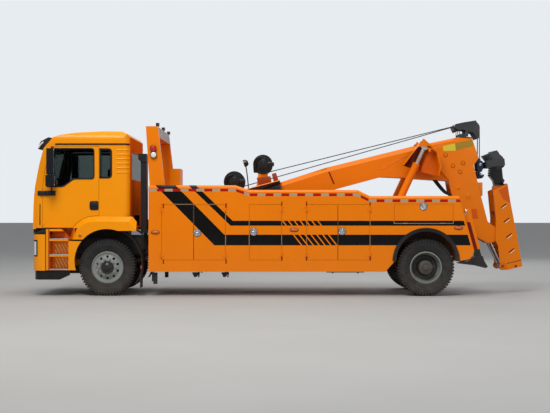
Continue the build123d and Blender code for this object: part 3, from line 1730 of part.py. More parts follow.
tube_down = 290
tube_end = 1045
leg_half = leg_tube / 2
leg_bore = leg_half - leg_wall
with BuildPart() as stabilizer_tubes:
    for sign in sides.values():
        y_low, y_high = side_span(sign, leg_y - leg_half, leg_y + leg_half)
        plate(leg_strip(tube_down, tube_end, 0.5, leg_tube), y_low, y_high)
        y_low, y_high = side_span(sign, leg_y - leg_bore, leg_y + leg_bore)
        bore = leg_strip(tube_down - 10, tube_end + 10, leg_wall, leg_tube - leg_wall)
        plate(bore, y_low, y_high, Mode.SUBTRACT)
        y_low, y_high = side_span(sign, leg_y - leg_half, leg_y + leg_half)
        plate(leg_strip(tube_down - 12, tube_down, 0.5, leg_tube), y_low, y_high)
finish(stabilizer_tubes, "stabilizer_tubes")

foot_outline = [
    (-3250, 606),
    (-3252, 592),
    (-3532, 560),
    (-3740, 508),
    (-3788, 530),
    (-3722, 640),
    (-3690, 730),
    (-3560, 730),
    (-3440, 640),
]
leg_end = 1180
for side, sign in sides.items():
    with BuildPart() as stabilizer_leg:
        y_low, y_high = side_span(sign, leg_y - leg_bore + leg_gap, leg_y + leg_bore - leg_gap)
        rear_face = leg_wall + leg_gap
        front_face = leg_tube - leg_wall - leg_gap
        plate(leg_strip(tube_down + 15, leg_end, rear_face, front_face), y_low, y_high)
        y_low, y_high = side_span(sign, leg_y - 130, leg_y + 130)
        plate(foot_outline, y_low, y_high)
    finish(stabilizer_leg, f"stabilizer_leg_{side}")
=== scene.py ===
import math

import bpy
from mathutils import Matrix, Vector


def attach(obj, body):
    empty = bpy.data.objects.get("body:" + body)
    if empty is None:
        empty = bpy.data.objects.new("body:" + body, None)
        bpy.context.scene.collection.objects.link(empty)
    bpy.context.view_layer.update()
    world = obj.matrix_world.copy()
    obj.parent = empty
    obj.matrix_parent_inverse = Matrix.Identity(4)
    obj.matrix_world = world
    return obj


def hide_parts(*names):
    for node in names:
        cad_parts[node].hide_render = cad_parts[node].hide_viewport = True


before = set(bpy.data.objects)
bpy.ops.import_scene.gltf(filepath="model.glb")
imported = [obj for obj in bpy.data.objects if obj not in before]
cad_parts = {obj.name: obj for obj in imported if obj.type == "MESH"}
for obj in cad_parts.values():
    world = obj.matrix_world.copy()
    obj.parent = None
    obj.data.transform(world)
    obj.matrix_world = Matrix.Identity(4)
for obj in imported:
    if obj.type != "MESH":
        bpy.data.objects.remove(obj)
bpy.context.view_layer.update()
sides = {"left": 1, "right": -1}
across = (0, 1, 0)
print("stage: frame loaded")


# Modelling helpers, all in metres and in the truck's own frame
def deselectAll():
    if bpy.context.object and bpy.context.object.mode != "OBJECT":
        bpy.ops.object.mode_set(mode="OBJECT")
    bpy.ops.object.select_all(action="DESELECT")


def pick(*things):
    deselectAll()
    for thing in things:
        thing.select_set(True)
    bpy.context.view_layer.objects.active = things[0]


def bakePlace(piece):
    pick(piece)
    bpy.ops.object.transform_apply(location=True, rotation=True, scale=True)


def applyBevel(piece, width, segments=2):
    # Rounds edges of more than 30 degrees
    if not width:
        return
    pick(piece)
    bevel = piece.modifiers.new("bevel", "BEVEL")
    bevel.width = width
    bevel.segments = segments
    bevel.limit_method = "ANGLE"
    bevel.angle_limit = math.radians(30)
    bpy.ops.object.modifier_apply(modifier=bevel.name)


def startEdit():
    bpy.ops.object.mode_set(mode="EDIT")
    bpy.ops.mesh.select_all(action="SELECT")


def endEdit(weld=False):
    # Turns all faces outwards and leaves edit mode
    bpy.ops.mesh.select_all(action="SELECT")
    if weld:
        bpy.ops.mesh.remove_doubles(threshold=0.00002)
    bpy.ops.mesh.normals_make_consistent(inside=False)
    bpy.ops.object.mode_set(mode="OBJECT")


def cleanSkin(piece):
    pick(piece)
    startEdit()
    endEdit(weld=True)


def addBlock(low, high, bevel=0.004, segments=2):
    low, high = Vector(low), Vector(high)
    deselectAll()
    bpy.ops.mesh.primitive_cube_add(size=1, location=(low + high) / 2)
    piece = bpy.context.object
    piece.scale = high - low
    bakePlace(piece)
    applyBevel(piece, bevel, segments)
    return piece


def addRod(start, end, radius, around=24, bevel=0.0):
    start, end = Vector(start), Vector(end)
    run = end - start
    deselectAll()
    middle = (start + end) / 2
    bpy.ops.mesh.primitive_cylinder_add(radius=radius, location=middle, depth=run.length, vertices=around)
    piece = bpy.context.object
    piece.rotation_mode = "QUATERNION"
    piece.rotation_quaternion = run.to_track_quat("Z", "Y")
    bakePlace(piece)
    applyBevel(piece, bevel)
    return piece


def sideRod(x, z, near, far, radius, around=24, bevel=0.0):
    # A rod along y
    return addRod((x, near, z), (x, far, z), radius, around, bevel)


def openOutline(points):
    # One face within a closed outline, left in edit mode
    deselectAll()
    bpy.ops.mesh.primitive_circle_add(vertices=len(points), radius=1, fill_type="NGON")
    piece = bpy.context.object
    for vertex, point in zip(piece.data.vertices, points):
        vertex.co = point
    startEdit()
    return piece


def addSlab(outline, thrust, bevel=0.0, segments=2):
    # One closed outline of points, pushed along a vector
    piece = openOutline(outline)
    bpy.ops.mesh.extrude_region_move(TRANSFORM_OT_translate={"value": thrust})
    endEdit()
    applyBevel(piece, bevel, segments)
    return piece


def sideSlab(points, yLow, yHigh, bevel=0.0, segments=2):
    return addSlab([(x, yLow, z) for x, z in points], (0, yHigh - yLow, 0), bevel, segments)


def addFrame(points, yLow, yHigh, width, bevel=0.0):
    # A flat ring that follows an outline, wide inwards
    piece = openOutline([(x, yLow, z) for x, z in points])
    bpy.ops.mesh.inset(thickness=width)
    bpy.ops.mesh.delete(type="FACE")
    bpy.ops.mesh.select_all(action="SELECT")
    bpy.ops.mesh.extrude_region_move(TRANSFORM_OT_translate={"value": (0, yHigh - yLow, 0)})
    endEdit()
    applyBevel(piece, bevel)
    return piece


def addSpin(profile, centre, steps=48, axis=across, closed=False):
    # Profile of (radius, distance along the axis) points, spun about the axis
    centre, axis = Vector(centre), Vector(axis).normalized()
    out = axis.orthogonal().normalized()
    points = [centre + out * r + axis * h for r, h in profile]
    if closed:
        points.append(points[0])
    deselectAll()
    bpy.ops.mesh.primitive_circle_add(vertices=3, radius=0.001, location=points[0])
    piece = bpy.context.object
    bpy.ops.object.transform_apply(location=True)
    startEdit()
    bpy.ops.mesh.merge(type="CENTER")
    for here, there in zip(points, points[1:]):
        bpy.ops.mesh.extrude_vertices_move(TRANSFORM_OT_translate={"value": there - here})
    bpy.ops.mesh.select_all(action="SELECT")
    bpy.ops.mesh.spin(steps=steps, angle=2 * math.pi, center=centre, axis=axis)
    endEdit(weld=True)
    return piece


def addTube(points, radius, around=8, smoothLine=True):
    # Tube along a line of points, as a mesh
    line = bpy.data.curves.new("tubeLine", "CURVE")
    line.dimensions = "3D"
    line.bevel_depth = radius
    line.bevel_resolution = around // 4
    line.resolution_u = 8
    line.use_fill_caps = True
    spline = line.splines.new("NURBS" if smoothLine else "POLY")
    spline.points.add(len(points) - 1)
    for spot, point in zip(spline.points, points):
        spot.co = (*point, 1)
    if smoothLine:
        spline.order_u = 3
        spline.use_endpoint_u = True
    piece = bpy.data.objects.new("tube", line)
    bpy.context.scene.collection.objects.link(piece)
    pick(piece)
    bpy.ops.object.convert(target="MESH")
    return bpy.context.object


def roundOff(corners, steps=5):
    # Rounds an outline's corners, given as (x, z, radius)
    points = []
    for index, (x, z, radius) in enumerate(corners):
        here = Vector((x, z))
        before = Vector(corners[index - 1][:2]) - here
        after = Vector(corners[(index + 1) % len(corners)][:2]) - here
        if not radius:
            points.append((x, z))
            continue
        reach = radius / math.tan(before.angle(after) / 2)
        start, end = here + before.normalized() * reach, here + after.normalized() * reach
        for step in range(steps + 1):
            t = step / steps
            spot = start * (1 - t) ** 2 + here * (2 * t * (1 - t)) + end * t ** 2
            points.append((spot.x, spot.y))
    return points


def addDome(centre, radius, height, steps=32, axis=across):
    # A lens: a shallow dome on a disc
    profile = [(radius, 0.0), (radius, height * 0.35)]
    for step in range(1, 6):
        angle = math.pi / 2 * step / 5
        profile.append((radius * math.cos(angle), height * (0.35 + 0.65 * math.sin(angle))))
    return addSpin(profile, centre, steps, axis)


def ringOf(piece, count, centre):
    # Repeats a mesh round an axis along y
    pick(piece)
    startEdit()
    bpy.ops.mesh.spin(steps=count, dupli=True, angle=2 * math.pi, center=centre, axis=across)
    bpy.ops.object.mode_set(mode="OBJECT")
    cleanSkin(piece)
    return piece


def joined(pieces):
    pick(*pieces)
    if len(pieces) > 1:
        bpy.ops.object.join()
    return bpy.context.object


def copied(piece, shift=(0, 0, 0), flipY=False, turnZ=0):
    double = piece.copy()
    double.data = piece.data.copy()
    bpy.context.scene.collection.objects.link(double)
    double.data.transform(Matrix.Translation(shift) @ Matrix.Rotation(turnZ, 4, "Z"))
    if flipY:
        double.data.transform(Matrix.Diagonal((1, -1, 1, 1)))
        double.data.flip_normals()
    return double


# The finishes that stand in each slot of the record
slotFinishes = {
    "orange_paint": ["cabPaint", "boomPaint", "armPaint", "seamShadePaint", "shadeAndLabelPaint", "paintedShadeOrange"],
    "lamp_lens": ["amberLens", "redLens", "whiteLens", "repeaterLens", "labelYellow", "labelOlive"],
    "rim_paint": ["rimPaint", "castIron"],
    "rope_steel": ["ropeSteel", "hookSteel"],
    "black_steel": ["blackSteel"],
    "black_plastic": ["blackPlastic"],
    "black_rubber": ["rubber"],
    "tyre_rubber": ["tyreRubber"],
    "tread_plate": ["plateMetal"],
    "chrome_rod": ["chrome"],
}
slotOf = {coat: slot for slot, coats in slotFinishes.items() for coat in coats}
finish = {}


def paint(mesh, coat):
    mesh.materials.clear()
    mesh.materials.append(finish[coat])


def dress(piece, name, body, coat, angle=35, slotName=None):
    slotName = slotName or slotOf[coat]
    piece.name = piece.data.name = name
    paint(piece.data, coat)
    pick(piece)
    bpy.ops.object.shade_smooth_by_angle(angle=math.radians(angle))
    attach(piece, body)


def dressPair(piece, name, body, coat, angle=35, slotName=None):
    # A piece of the left side and its mirror image: body has {side} where the two sides have their own
    for side, thing in (("left", piece), ("right", copied(piece, flipY=True))):
        dress(thing, f"{name}_{side}", body.format(side=side), coat, angle, slotName)


# Shader helpers
def tone(red, green, blue):
    # Linear colour from the 0 to 255 values that a colour picker gives
    parts = [part / 255 for part in (red, green, blue)]
    return (*[part / 12.92 if part < 0.04045 else ((part + 0.055) / 1.055) ** 2.4 for part in parts], 1)


def feed(tree, value, socket):
    # Links an output to an input, or sets the input's own value
    value = value.socket if isinstance(value, Number) else value
    if isinstance(value, bpy.types.NodeSocket):
        tree.links.new(value, socket)
    else:
        socket.default_value = value


def place(tree, kind, feeds=None, **settings):
    made = tree.nodes.new(kind)
    for key, value in settings.items():
        setattr(made, key, value)
    for key, value in (feeds or {}).items():
        feed(tree, value, made.inputs[key])
    return made


def calc(tree, operation, *values):
    made = place(tree, "ShaderNodeMath", dict(enumerate(values)), operation=operation)
    return Number(tree, made.outputs[0])


class Number:
    # A number in a shader tree. Signs between numbers add maths nodes: * joins masks, | takes the larger
    def __init__(self, tree, socket):
        self.tree, self.socket = tree, socket

    def __rsub__(self, other):
        return calc(self.tree, "SUBTRACT", other, self)

    def near(self, middle, half):
        return calc(self.tree, "COMPARE", self, middle, half)

    def within(self, limits):
        return self.near(sum(limits) / 2, (limits[1] - limits[0]) / 2)

    def ramp(self, low, high, toLow=0.0, toHigh=1.0):
        feeds = {"Value": self, "From Min": low, "From Max": high, "To Min": toLow, "To Max": toHigh}
        return Number(self.tree, place(self.tree, "ShaderNodeMapRange", feeds).outputs["Result"])


def signFor(operation):
    return lambda first, *others: calc(first.tree, operation, first, *others)


Number.__add__, Number.__sub__ = signFor("ADD"), signFor("SUBTRACT")
Number.__mul__, Number.__truediv__ = signFor("MULTIPLY"), signFor("DIVIDE")
Number.__lt__, Number.__gt__ = signFor("LESS_THAN"), signFor("GREATER_THAN")
Number.__or__, Number.__abs__ = signFor("MAXIMUM"), signFor("ABSOLUTE")


def either(masks):
    # 1 where any of the masks is
    total = masks[0]
    for mask in masks[1:]:
        total = total | mask
    return total


def axesOf(tree, vector):
    outputs = place(tree, "ShaderNodeSeparateXYZ", {"Vector": vector}).outputs
    return [Number(tree, output) for output in outputs]


def coordinate(tree, kind):
    return place(tree, "ShaderNodeTexCoord").outputs[kind]


def noise(tree, vector, scale, detail):
    feeds = {"Vector": vector, "Scale": scale, "Detail": detail}
    return Number(tree, place(tree, "ShaderNodeTexNoise", feeds).outputs["Fac"])


def blendColour(tree, amount, first, second):
    return place(tree, "ShaderNodeMix", {0: amount, 6: first, 7: second}, data_type="RGBA").outputs[2]


def newGroup(name, inputs, outputs):
    tree = bpy.data.node_groups.new(name, "ShaderNodeTree")
    for label, kind, value in inputs:
        socket = tree.interface.new_socket(name=label, in_out="INPUT", socket_type=kind)
        if value is not None:
            socket.default_value = value
    for label, kind in outputs:
        tree.interface.new_socket(name=label, in_out="OUTPUT", socket_type=kind)
    return tree, tree.nodes.new("NodeGroupInput").outputs, tree.nodes.new("NodeGroupOutput").inputs


def useGroup(tree, group, feeds):
    return place(tree, "ShaderNodeGroup", feeds, node_tree=group).outputs


def newMaterial(name):
    # A material, its tree and the inputs of its shader
    material = bpy.data.materials.new(name)
    material.use_nodes = True
    return material, material.node_tree, material.node_tree.nodes["Principled BSDF"].inputs


colourSocket, numberSocket, vectorSocket = "NodeSocketColor", "NodeSocketFloat", "NodeSocketVector"


def makeWeatherGroup():
    # Road dust that thickens towards the ground, and slow changes of colour
    inputs = [
        ("Vector", vectorSocket, None),
        ("Color", colourSocket, (0.5, 0.5, 0.5, 1)),
        ("Dust Color", colourSocket, tone(150, 140, 122)),
        ("Dust", numberSocket, 0.3),
        ("Dust Height", numberSocket, 1.2),
        ("Mottle", numberSocket, 0.06),
        ("Mottle Scale", numberSocket, 2.0),
    ]
    tree, given, result = newGroup("weather", inputs, [("Color", colourSocket), ("Dust Mask", numberSocket)])
    swing = noise(tree, given["Vector"], given["Mottle Scale"], 4.0) - 0.5
    feeds = {"Color": given["Color"], "Value": swing * given["Mottle"] + 1.0}
    varied = place(tree, "ShaderNodeHueSaturation", feeds).outputs["Color"]
    low = axesOf(tree, given["Vector"])[2].ramp(given["Dust Height"], 0.0)
    patchy = noise(tree, given["Vector"], 9.0, 6.0).ramp(0.3, 0.75) * 0.7 + 0.3
    mask = low * patchy * given["Dust"]
    feed(tree, blendColour(tree, mask, varied, given["Dust Color"]), result["Color"])
    feed(tree, mask, result["Dust Mask"])
    return tree


def makeGrainGroup():
    # Fine surface relief: a height for bump and a small change of roughness
    inputs = [("Vector", vectorSocket, None), ("Scale", numberSocket, 80.0), ("Detail", numberSocket, 3.0)]
    tree, given, result = newGroup("grain", inputs, [("Height", numberSocket), ("Rough", numberSocket)])
    feed(tree, noise(tree, given["Vector"], given["Scale"], given["Detail"]), result["Height"])
    feed(tree, noise(tree, given["Vector"], 5.0, 3.0).ramp(0.3, 0.7, -0.06, 0.06), result["Rough"])
    return tree


# Livery of the lockers: stripes, slashes across them, and reflective tape below the rail. An edge of
# a stripe has a level, the x where it starts to rise towards the cab, and its slope from there
livery = {
    "face": 1.186,
    "thin": ((1.290, 0.946, 0.962), (1.380, 0.906, 0.962)),
    "thick": ((0.930, 1.241, 1.015), (1.125, 1.059, 1.012)),
    "stripeEnd": -3.020,
    "endSlope": 0.2723,
    "endLevel": 2.5,
    "slashCount": 7,
    "slashStep": 0.107,
    "slashHalf": 0.013,
    "slashLean": 0.78,
    "slashStart": -1.083,
    "tapeTop": 0.064,
    "tapeHeight": 0.050,
    "tapePeriod": 0.2905,
    "tapeStart": 2.296,
    "tapeShift": 0.044,
    "tapeShiftEnd": 0.62,
    "rails": ((-1.604, -1.376, 1.835, 1.945), (0.603, 0.858, 0.0, 0.085)),
    "doorEdges": (2.211, 1.621, 1.038, 0.603, 0.011, -0.447, -1.019, -1.607),
    "doorHeight": (0.65, 1.69),
    "doorTop": (1.68, (1.038, 2.211)),
    "flapEdges": (-2.048, -3.130),
    "flapHeight": (1.33, 1.69),
    "flapBottom": (1.333, (-3.134, -2.044)),
    "edgeHalf": 0.0065,
    "colours": {
        "Stripe": (7, 7, 9),
        "Cut Edge Highlight": (186, 146, 112),
        "Tape White": (172, 152, 128),
        "Tape Red": (172, 12, 10),
    },
}


def makeLiveryGroup():
    v = livery
    outputs = [(label, numberSocket) for label in ("Stripe", "Cut Edge Highlight", "Tape Red", "Tape White")]
    tree, given, result = newGroup("livery", [("Vector", vectorSocket, None)], outputs)
    x, y, z = axesOf(tree, given["Vector"])
    outside = abs(y) > v["face"]

    def edge(level, kink, slope):
        return ((x - kink) | 0.0) * slope + level

    def slashes():
        # Slanted bars: 1 inside a bar
        order = (v["slashStart"] - (x - z * v["slashLean"])) / v["slashStep"]
        bar = abs(order - calc(tree, "ROUND", order)) < v["slashHalf"] / v["slashStep"]
        return bar * (order > -0.5) * (order < v["slashCount"] - 0.5)

    def line(value, spot):
        return value.near(spot, v["edgeHalf"])

    between = [(z > edge(*v[key][0])) * (z < edge(*v[key][1])) for key in ("thin", "thick")]
    stripe = either(between) * (1.0 - slashes())
    stripe = stripe * (x > z * v["endSlope"] + (v["stripeEnd"] - v["endLevel"] * v["endSlope"])) * outside
    # The stripes are cut back at the edges of the doors, so the paint under them shows there, drawn pale as a
    # painted highlight along the edges
    doors = either([line(x, spot) for spot in v["doorEdges"]]) * z.within(v["doorHeight"])
    flaps = either([line(x, spot) for spot in v["flapEdges"]]) * z.within(v["flapHeight"])
    levels = [line(z, level) * x.within(reach) for level, reach in (v["doorTop"], v["flapBottom"])]
    bareAndHighlit = either([doors, flaps, *levels])
    # Tape runs below the rail, whose level steps down towards the rear
    rail = x.ramp(*v["rails"][0]) + x.ramp(*v["rails"][1])
    tape = (rail - z).near(v["tapeTop"] + v["tapeHeight"] / 2, v["tapeHeight"] / 2) * outside
    start = (x < v["tapeShiftEnd"]) * v["tapeShift"] + v["tapeStart"]
    red = calc(tree, "FRACT", (start - x) / v["tapePeriod"] + 40.0) < 0.5
    masks = (stripe * (1.0 - bareAndHighlit), stripe * bareAndHighlit, tape * red, tape * (1.0 - red))
    for socket, mask in zip(result, masks):
        feed(tree, mask, socket)
    return tree


weatherGroup = makeWeatherGroup()
grainGroup = makeGrainGroup()
liveryGroup = makeLiveryGroup()

# Finishes: colour, roughness, metal, coat, and the grain and dust of each
finishes = {
    "cabPaint": dict(colour=(246, 150, 0), rough=0.26, coat=0.15, gloss=0.14, grain=(60, 0.0004), dust=0.06),
    "bodyPaint": dict(colour=(236, 124, 0), rough=0.3, coat=0.12, gloss=0.12, grain=(60, 0.0005), dust=0.07),
    "boomPaint": dict(colour=(229, 119, 0), rough=0.34, coat=0.1, gloss=0.12, grain=(50, 0.0006), dust=0.05),
    "chassisPaint": dict(colour=(30, 30, 31), rough=0.5, grain=(90, 0.0008), dust=0.5),
    "blackSteel": dict(colour=(16, 16, 19), rough=0.28, coat=0.25, gloss=0.42, grain=(45, 0.0008), dust=0.08),
    "castIron": dict(colour=(42, 41, 40), rough=0.62, grain=(120, 0.0015), dust=0.5),
    "rubber": dict(colour=(20, 20, 22), rough=0.68, gloss=0.3, grain=(160, 0.0008), dust=0.25),
    "tyreRubber": dict(colour=(28, 28, 31), rough=0.8, gloss=0.3, grain=(140, 0.0012), dust=0.22),
    "blackPlastic": dict(colour=(26, 26, 31), rough=0.46, gloss=0.35, grain=(260, 0.0006), dust=0.1),
    "cabFabric": dict(colour=(52, 52, 56), rough=0.9, grain=(420, 0.0012), dust=0.05),
    "rimPaint": dict(colour=(138, 144, 140), rough=0.42, metal=0.2, gloss=0.35, grain=(70, 0.0006), dust=0.3),
    "plateMetal": dict(colour=(188, 188, 186), rough=0.38, metal=0.8, grain=(50, 0.0008), dust=0.35),
    "chrome": dict(colour=(214, 216, 220), rough=0.12, metal=1.0, grain=(30, 0.0001), dust=0.0),
    "ropeSteel": dict(colour=(74, 76, 80), rough=0.45, metal=0.7, grain=(400, 0.002), dust=0.0),
    "redLens": dict(colour=(190, 16, 22), rough=0.12, coat=0.8, grain=(40, 0.0002), dust=0.1),
    "amberLens": dict(colour=(206, 100, 36), rough=0.2, coat=0.2, gloss=0.3, grain=(40, 0.0002), dust=0.15),
    "whiteLens": dict(colour=(226, 228, 226), rough=0.12, coat=0.8, grain=(40, 0.0002), dust=0.1),
    "hookSteel": dict(colour=(38, 52, 78), rough=0.4, metal=0.2, grain=(60, 0.001), dust=0.0),
    # Dark orange as painted shade at the boom strap and round the mast pins
    "seamShadePaint": dict(colour=(120, 44, 10), rough=0.4, gloss=0.1, grain=(60, 0.0005), dust=0.05),
    # Darker orange as painted shade in recesses, also the colour of a small label
    "shadeAndLabelPaint": dict(colour=(206, 88, 10), rough=0.4, gloss=0.15, grain=(60, 0.0005), dust=0.1),
    "repeaterLens": dict(colour=(200, 90, 10), rough=0.3, gloss=0.4, grain=(60, 0.0002), dust=0.03),
    # Dark orange as painted shade on the winch base and round the fold arm's eye
    "paintedShadeOrange": dict(colour=(150, 56, 12), rough=0.45, gloss=0.3, grain=(60, 0.0003), dust=0.12),
    "labelYellow": dict(colour=(214, 196, 52), rough=0.5, gloss=0.3, grain=(60, 0.0002), dust=0.05),
    "labelOlive": dict(colour=(160, 128, 30), rough=0.5, gloss=0.3, grain=(60, 0.0002), dust=0.05),
}
skinSizes = {"mottle": 0.10, "bump": 0.6, "dustRough": 0.35, "gloss": 0.5, "coatRough": 0.12}
# Painted shade: faces of the cab turned to the rear get a darker colour and lose their gloss
rearShade = {"facing": -0.93, "colour": (226, 104, 20), "gloss": 0.0}


def makeFinish(name, values, extra=None, shadeRear=False):
    # One material: weathered colour, grain and, where given, what the extra step lays over it
    material, tree, inputs = newMaterial(name)
    spot = coordinate(tree, "Object")
    scale, lift = values["grain"]
    colour = tone(*values["colour"])
    if extra:
        colour = extra(tree, spot, colour)
    feeds = {"Vector": spot, "Color": colour, "Dust": values["dust"], "Mottle": skinSizes["mottle"]}
    weathered = useGroup(tree, weatherGroup, feeds)
    grain = useGroup(tree, grainGroup, {"Vector": spot, "Scale": float(scale)})
    feeds = {"Height": grain["Height"], "Distance": lift, "Strength": skinSizes["bump"]}
    bump = place(tree, "ShaderNodeBump", feeds)
    rough = Number(tree, grain["Rough"]) + values["rough"]
    skin = {
        "Base Color": weathered["Color"],
        "Roughness": Number(tree, weathered["Dust Mask"]) * skinSizes["dustRough"] + rough,
        "Normal": bump.outputs["Normal"],
        "Specular IOR Level": values.get("gloss", skinSizes["gloss"]),
        "Metallic": values.get("metal", 0.0),
        "Coat Weight": values.get("coat", 0.0),
        "Coat Roughness": skinSizes["coatRough"],
    }
    # Painted shade on faces turned to the rear
    if shadeRear:
        rear = axesOf(tree, coordinate(tree, "Normal"))[0] < rearShade["facing"]
        skin["Base Color"] = blendColour(tree, rear, weathered["Color"], tone(*rearShade["colour"]))
        for key in ("Specular IOR Level", "Coat Weight"):
            skin[key] = rear * (rearShade["gloss"] - skin[key]) + skin[key]
    for key, value in skin.items():
        feed(tree, value, inputs[key])
    finish[name] = material
    return tree, spot, inputs


def zoneCoat(*zones):
    # Paints boxes of the surface in other colours: ranges of x, distance from the middle, and z
    def coat(tree, spot, colour):
        x, y, z = axesOf(tree, spot)
        axes = (x, abs(y), z)
        for *ranges, shade in zones:
            mask = 1.0
            for value, limits in zip(axes, ranges):
                mask = value.within(limits) * mask if limits else mask
            colour = blendColour(tree, mask, colour, tone(*shade))
        return colour

    return coat


# Dark marks of painted shade at the door hinges of the lockers: the x of each door's pair, and the two levels
hingePlaces = [(2.175, 1.650, 0.632), (1.027, 1.660, 0.635)]
hingePlaces += [(0.008, 1.690, 0.688), (-0.445, 1.690, 0.688), (-1.609, 1.695, 0.688)]
hingeSizes = {"halfWidth": 0.012, "halfHeight": 0.040, "away": (1.245, 1.3), "colour": (128, 30, 10)}


def spread(middle, half):
    return (middle - half, middle + half)


hingeShadeMarks = [
    (
        spread(x, hingeSizes["halfWidth"]),
        hingeSizes["away"],
        spread(z, hingeSizes["halfHeight"]),
        hingeSizes["colour"],
    )
    for x, *levels in hingePlaces
    for z in levels
]


def liveryCoat(tree, spot, colour):
    # Black stripes over the orange with pale painted highlights at the door edges, dark painted shade marks
    # at the hinges over them, and red and white tape on top
    masks = useGroup(tree, liveryGroup, {"Vector": spot})

    def cover(colour, label):
        return blendColour(tree, masks[label], colour, tone(*livery["colours"][label]))

    colour = cover(cover(colour, "Stripe"), "Cut Edge Highlight")
    colour = zoneCoat(*hingeShadeMarks)(tree, spot, colour)
    return cover(cover(colour, "Tape White"), "Tape Red")


frontAxleX, rearAxleX, wheelZ = 3.215, -2.635, 0.522


def hubCoat(centreX, radius, inner):
    # Paints the middle of a wheel in another colour, by the distance from its axis
    def coat(tree, spot, colour):
        x, _, z = axesOf(tree, spot)
        dx, dz = x - centreX, z - wheelZ
        return blendColour(tree, (dx * dx + dz * dz) < radius**2, colour, tone(*inner))

    return coat


trimShade = (26, 26, 31)
roomLiningAndShade = (58, 57, 58)
cabZones = [
    # Grey inside the cab, partly lining and partly painted shade
    ((2.96, 4.35), (0, 0.95), (1.27, 2.75), roomLiningAndShade),
    ((2.6, 3.80), (0.6, 1.225), (0.9, 1.245), trimShade),
    # Darker orange as painted shade on the plate behind the top step
    ((3.80, 4.12), (0.6, 1.200), (0.95, 1.2465), (206, 88, 10)),
]
cabRoom = {"centre": (3.6, 0.0, 2.1), "floor": 1.27, "limit": -0.03}


def shellCoat(tree, spot, colour):
    # Faces that look into the cab get a grey that is partly the lining and partly painted shade
    v = cabRoom
    colour = zoneCoat(*cabZones)(tree, spot, colour)
    arm = place(tree, "ShaderNodeVectorMath", {0: spot, 1: v["centre"]}, operation="SUBTRACT").outputs[0]
    feeds = {0: coordinate(tree, "Normal"), 1: arm}
    facing = place(tree, "ShaderNodeVectorMath", feeds, operation="DOT_PRODUCT").outputs["Value"]
    mask = (Number(tree, facing) < v["limit"]) * (axesOf(tree, spot)[2] > v["floor"])
    return blendColour(tree, mask, colour, tone(*roomLiningAndShade))


doorZones = [
    # The doors' insides in grey, partly lining and partly painted shade
    (None, (0, 1.125), None, roomLiningAndShade),
    (None, (1.172, 2.0), None, trimShade),
    ((4.1925, 4.2325), (1.1405, 2.0), None, trimShade),
    ((3.3, 3.54), (1.1405, 2.0), None, trimShade),
]
# Winch deck sides: a pale painted highlight above a sloping line, and dark painted shade below it
deckSide = {"x": (0.03, 1.2), "away": 0.383, "slope": -0.2688, "level": 2.1514}
deckHighlightAndShade = {"edge": (250, 176, 96), "side": (52, 22, 14)}
# Painted shade inside the hoods: a darker orange, darker still near the front plate
hoodShade = {
    "x": (-3.02, -2.24),
    "away": (0.4, 0.4425),
    "z": (2.14, 2.86),
    "plate": (-2.318, 2.420),
    "facing": (0.789, 0.614),
    "dark": -0.120,
    "colour": (204, 92, 8),
    "darkColour": (112, 34, 12),
}


def armCoat(tree, spot, colour):
    # Painted light on the winch deck's sides, a pale painted highlight above a sloping line and dark painted
    # shade below it, and painted shade inside the hoods
    v = deckSide
    x, y, z = axesOf(tree, spot)
    away = abs(y)
    deck = x.within(v["x"]) * (away > v["away"])
    low = deck * (z < x * v["slope"] + v["level"])
    colour = blendColour(tree, deck, colour, tone(*deckHighlightAndShade["edge"]))
    colour = blendColour(tree, low, colour, tone(*deckHighlightAndShade["side"]))
    v = hoodShade
    hood = x.within(v["x"]) * away.within(v["away"]) * z.within(v["z"])
    colour = blendColour(tree, hood, colour, tone(*v["colour"]))
    # The painted shade in the hood is darker near its front plate, given by a point on it and the way it
    # faces
    ahead = (x - v["plate"][0]) * v["facing"][0] + (z - v["plate"][1]) * v["facing"][1]
    front = hood * (ahead > v["dark"])
    return blendColour(tree, front, colour, tone(*v["darkColour"]))


bumperZones = [
    # Painted shade: a dark line in the gap between the bumper and the step
    ((4.300, 4.340), None, (0.460, 1.2), (90, 36, 8)),
    (None, None, (0.0, 0.4672), (18, 18, 20)),
    ((4.484, 4.7), (0.95, 1.3), (0.722, 1.030), (24, 24, 26)),
]
lampRim = (20, 20, 22)
lampZones = [
    ((4.40, 4.70), (0.9, 1.3), (0.700, 0.752), lampRim),
    ((4.40, 4.70), (0.9, 1.3), (0.998, 1.050), lampRim),
    ((4.40, 4.512), (0.9, 1.3), (0.700, 1.050), lampRim),
    ((2.30, 2.43), (1.1, 1.3), (2.648, 2.766), (176, 10, 26)),
    ((-4.0, -3.0), None, None, (150, 14, 14)),
    ((2.25, 2.33), None, (3.1165, 3.2), (22, 22, 25)),
]
gantryZones = [((2.25, 2.2925), (0, 1.06), (2.925, 3.105), (122, 104, 98))]
tubeShadeStrip = {
    "across": (-3.703, -3.640),
    "z": (0.84, 1.355),
    "away": 1.07,
    "lean": math.radians(15.23),
    "colour": (120, 24, 14),
}


def tubeShadeCoat(tree, spot, colour):
    # Painted shade: a dark strip down the outer face of the stabilizer's tube
    v = tubeShadeStrip
    x, y, z = axesOf(tree, spot)
    slanted = x * math.cos(v["lean"]) - z * math.sin(v["lean"])
    mask = slanted.within(v["across"]) * z.within(v["z"]) * (abs(y) > v["away"])
    return blendColour(tree, mask, colour, tone(*v["colour"]))


slashSizes = {
    "step": 0.060,
    "fill": 0.50,
    "lean": 0.5,
    "x": (3.96, 4.21),
    "levels": ((0.51, 0.70), (0.775, 0.955)),
    "wall": (0.935, 0.975),
    "recess": 1.205,
    "post": (4.262, 4.290),
    "colour": (255, 236, 130),
    "recessColour": (255, 150, 20),
    "postShadeColour": (190, 84, 10),
}


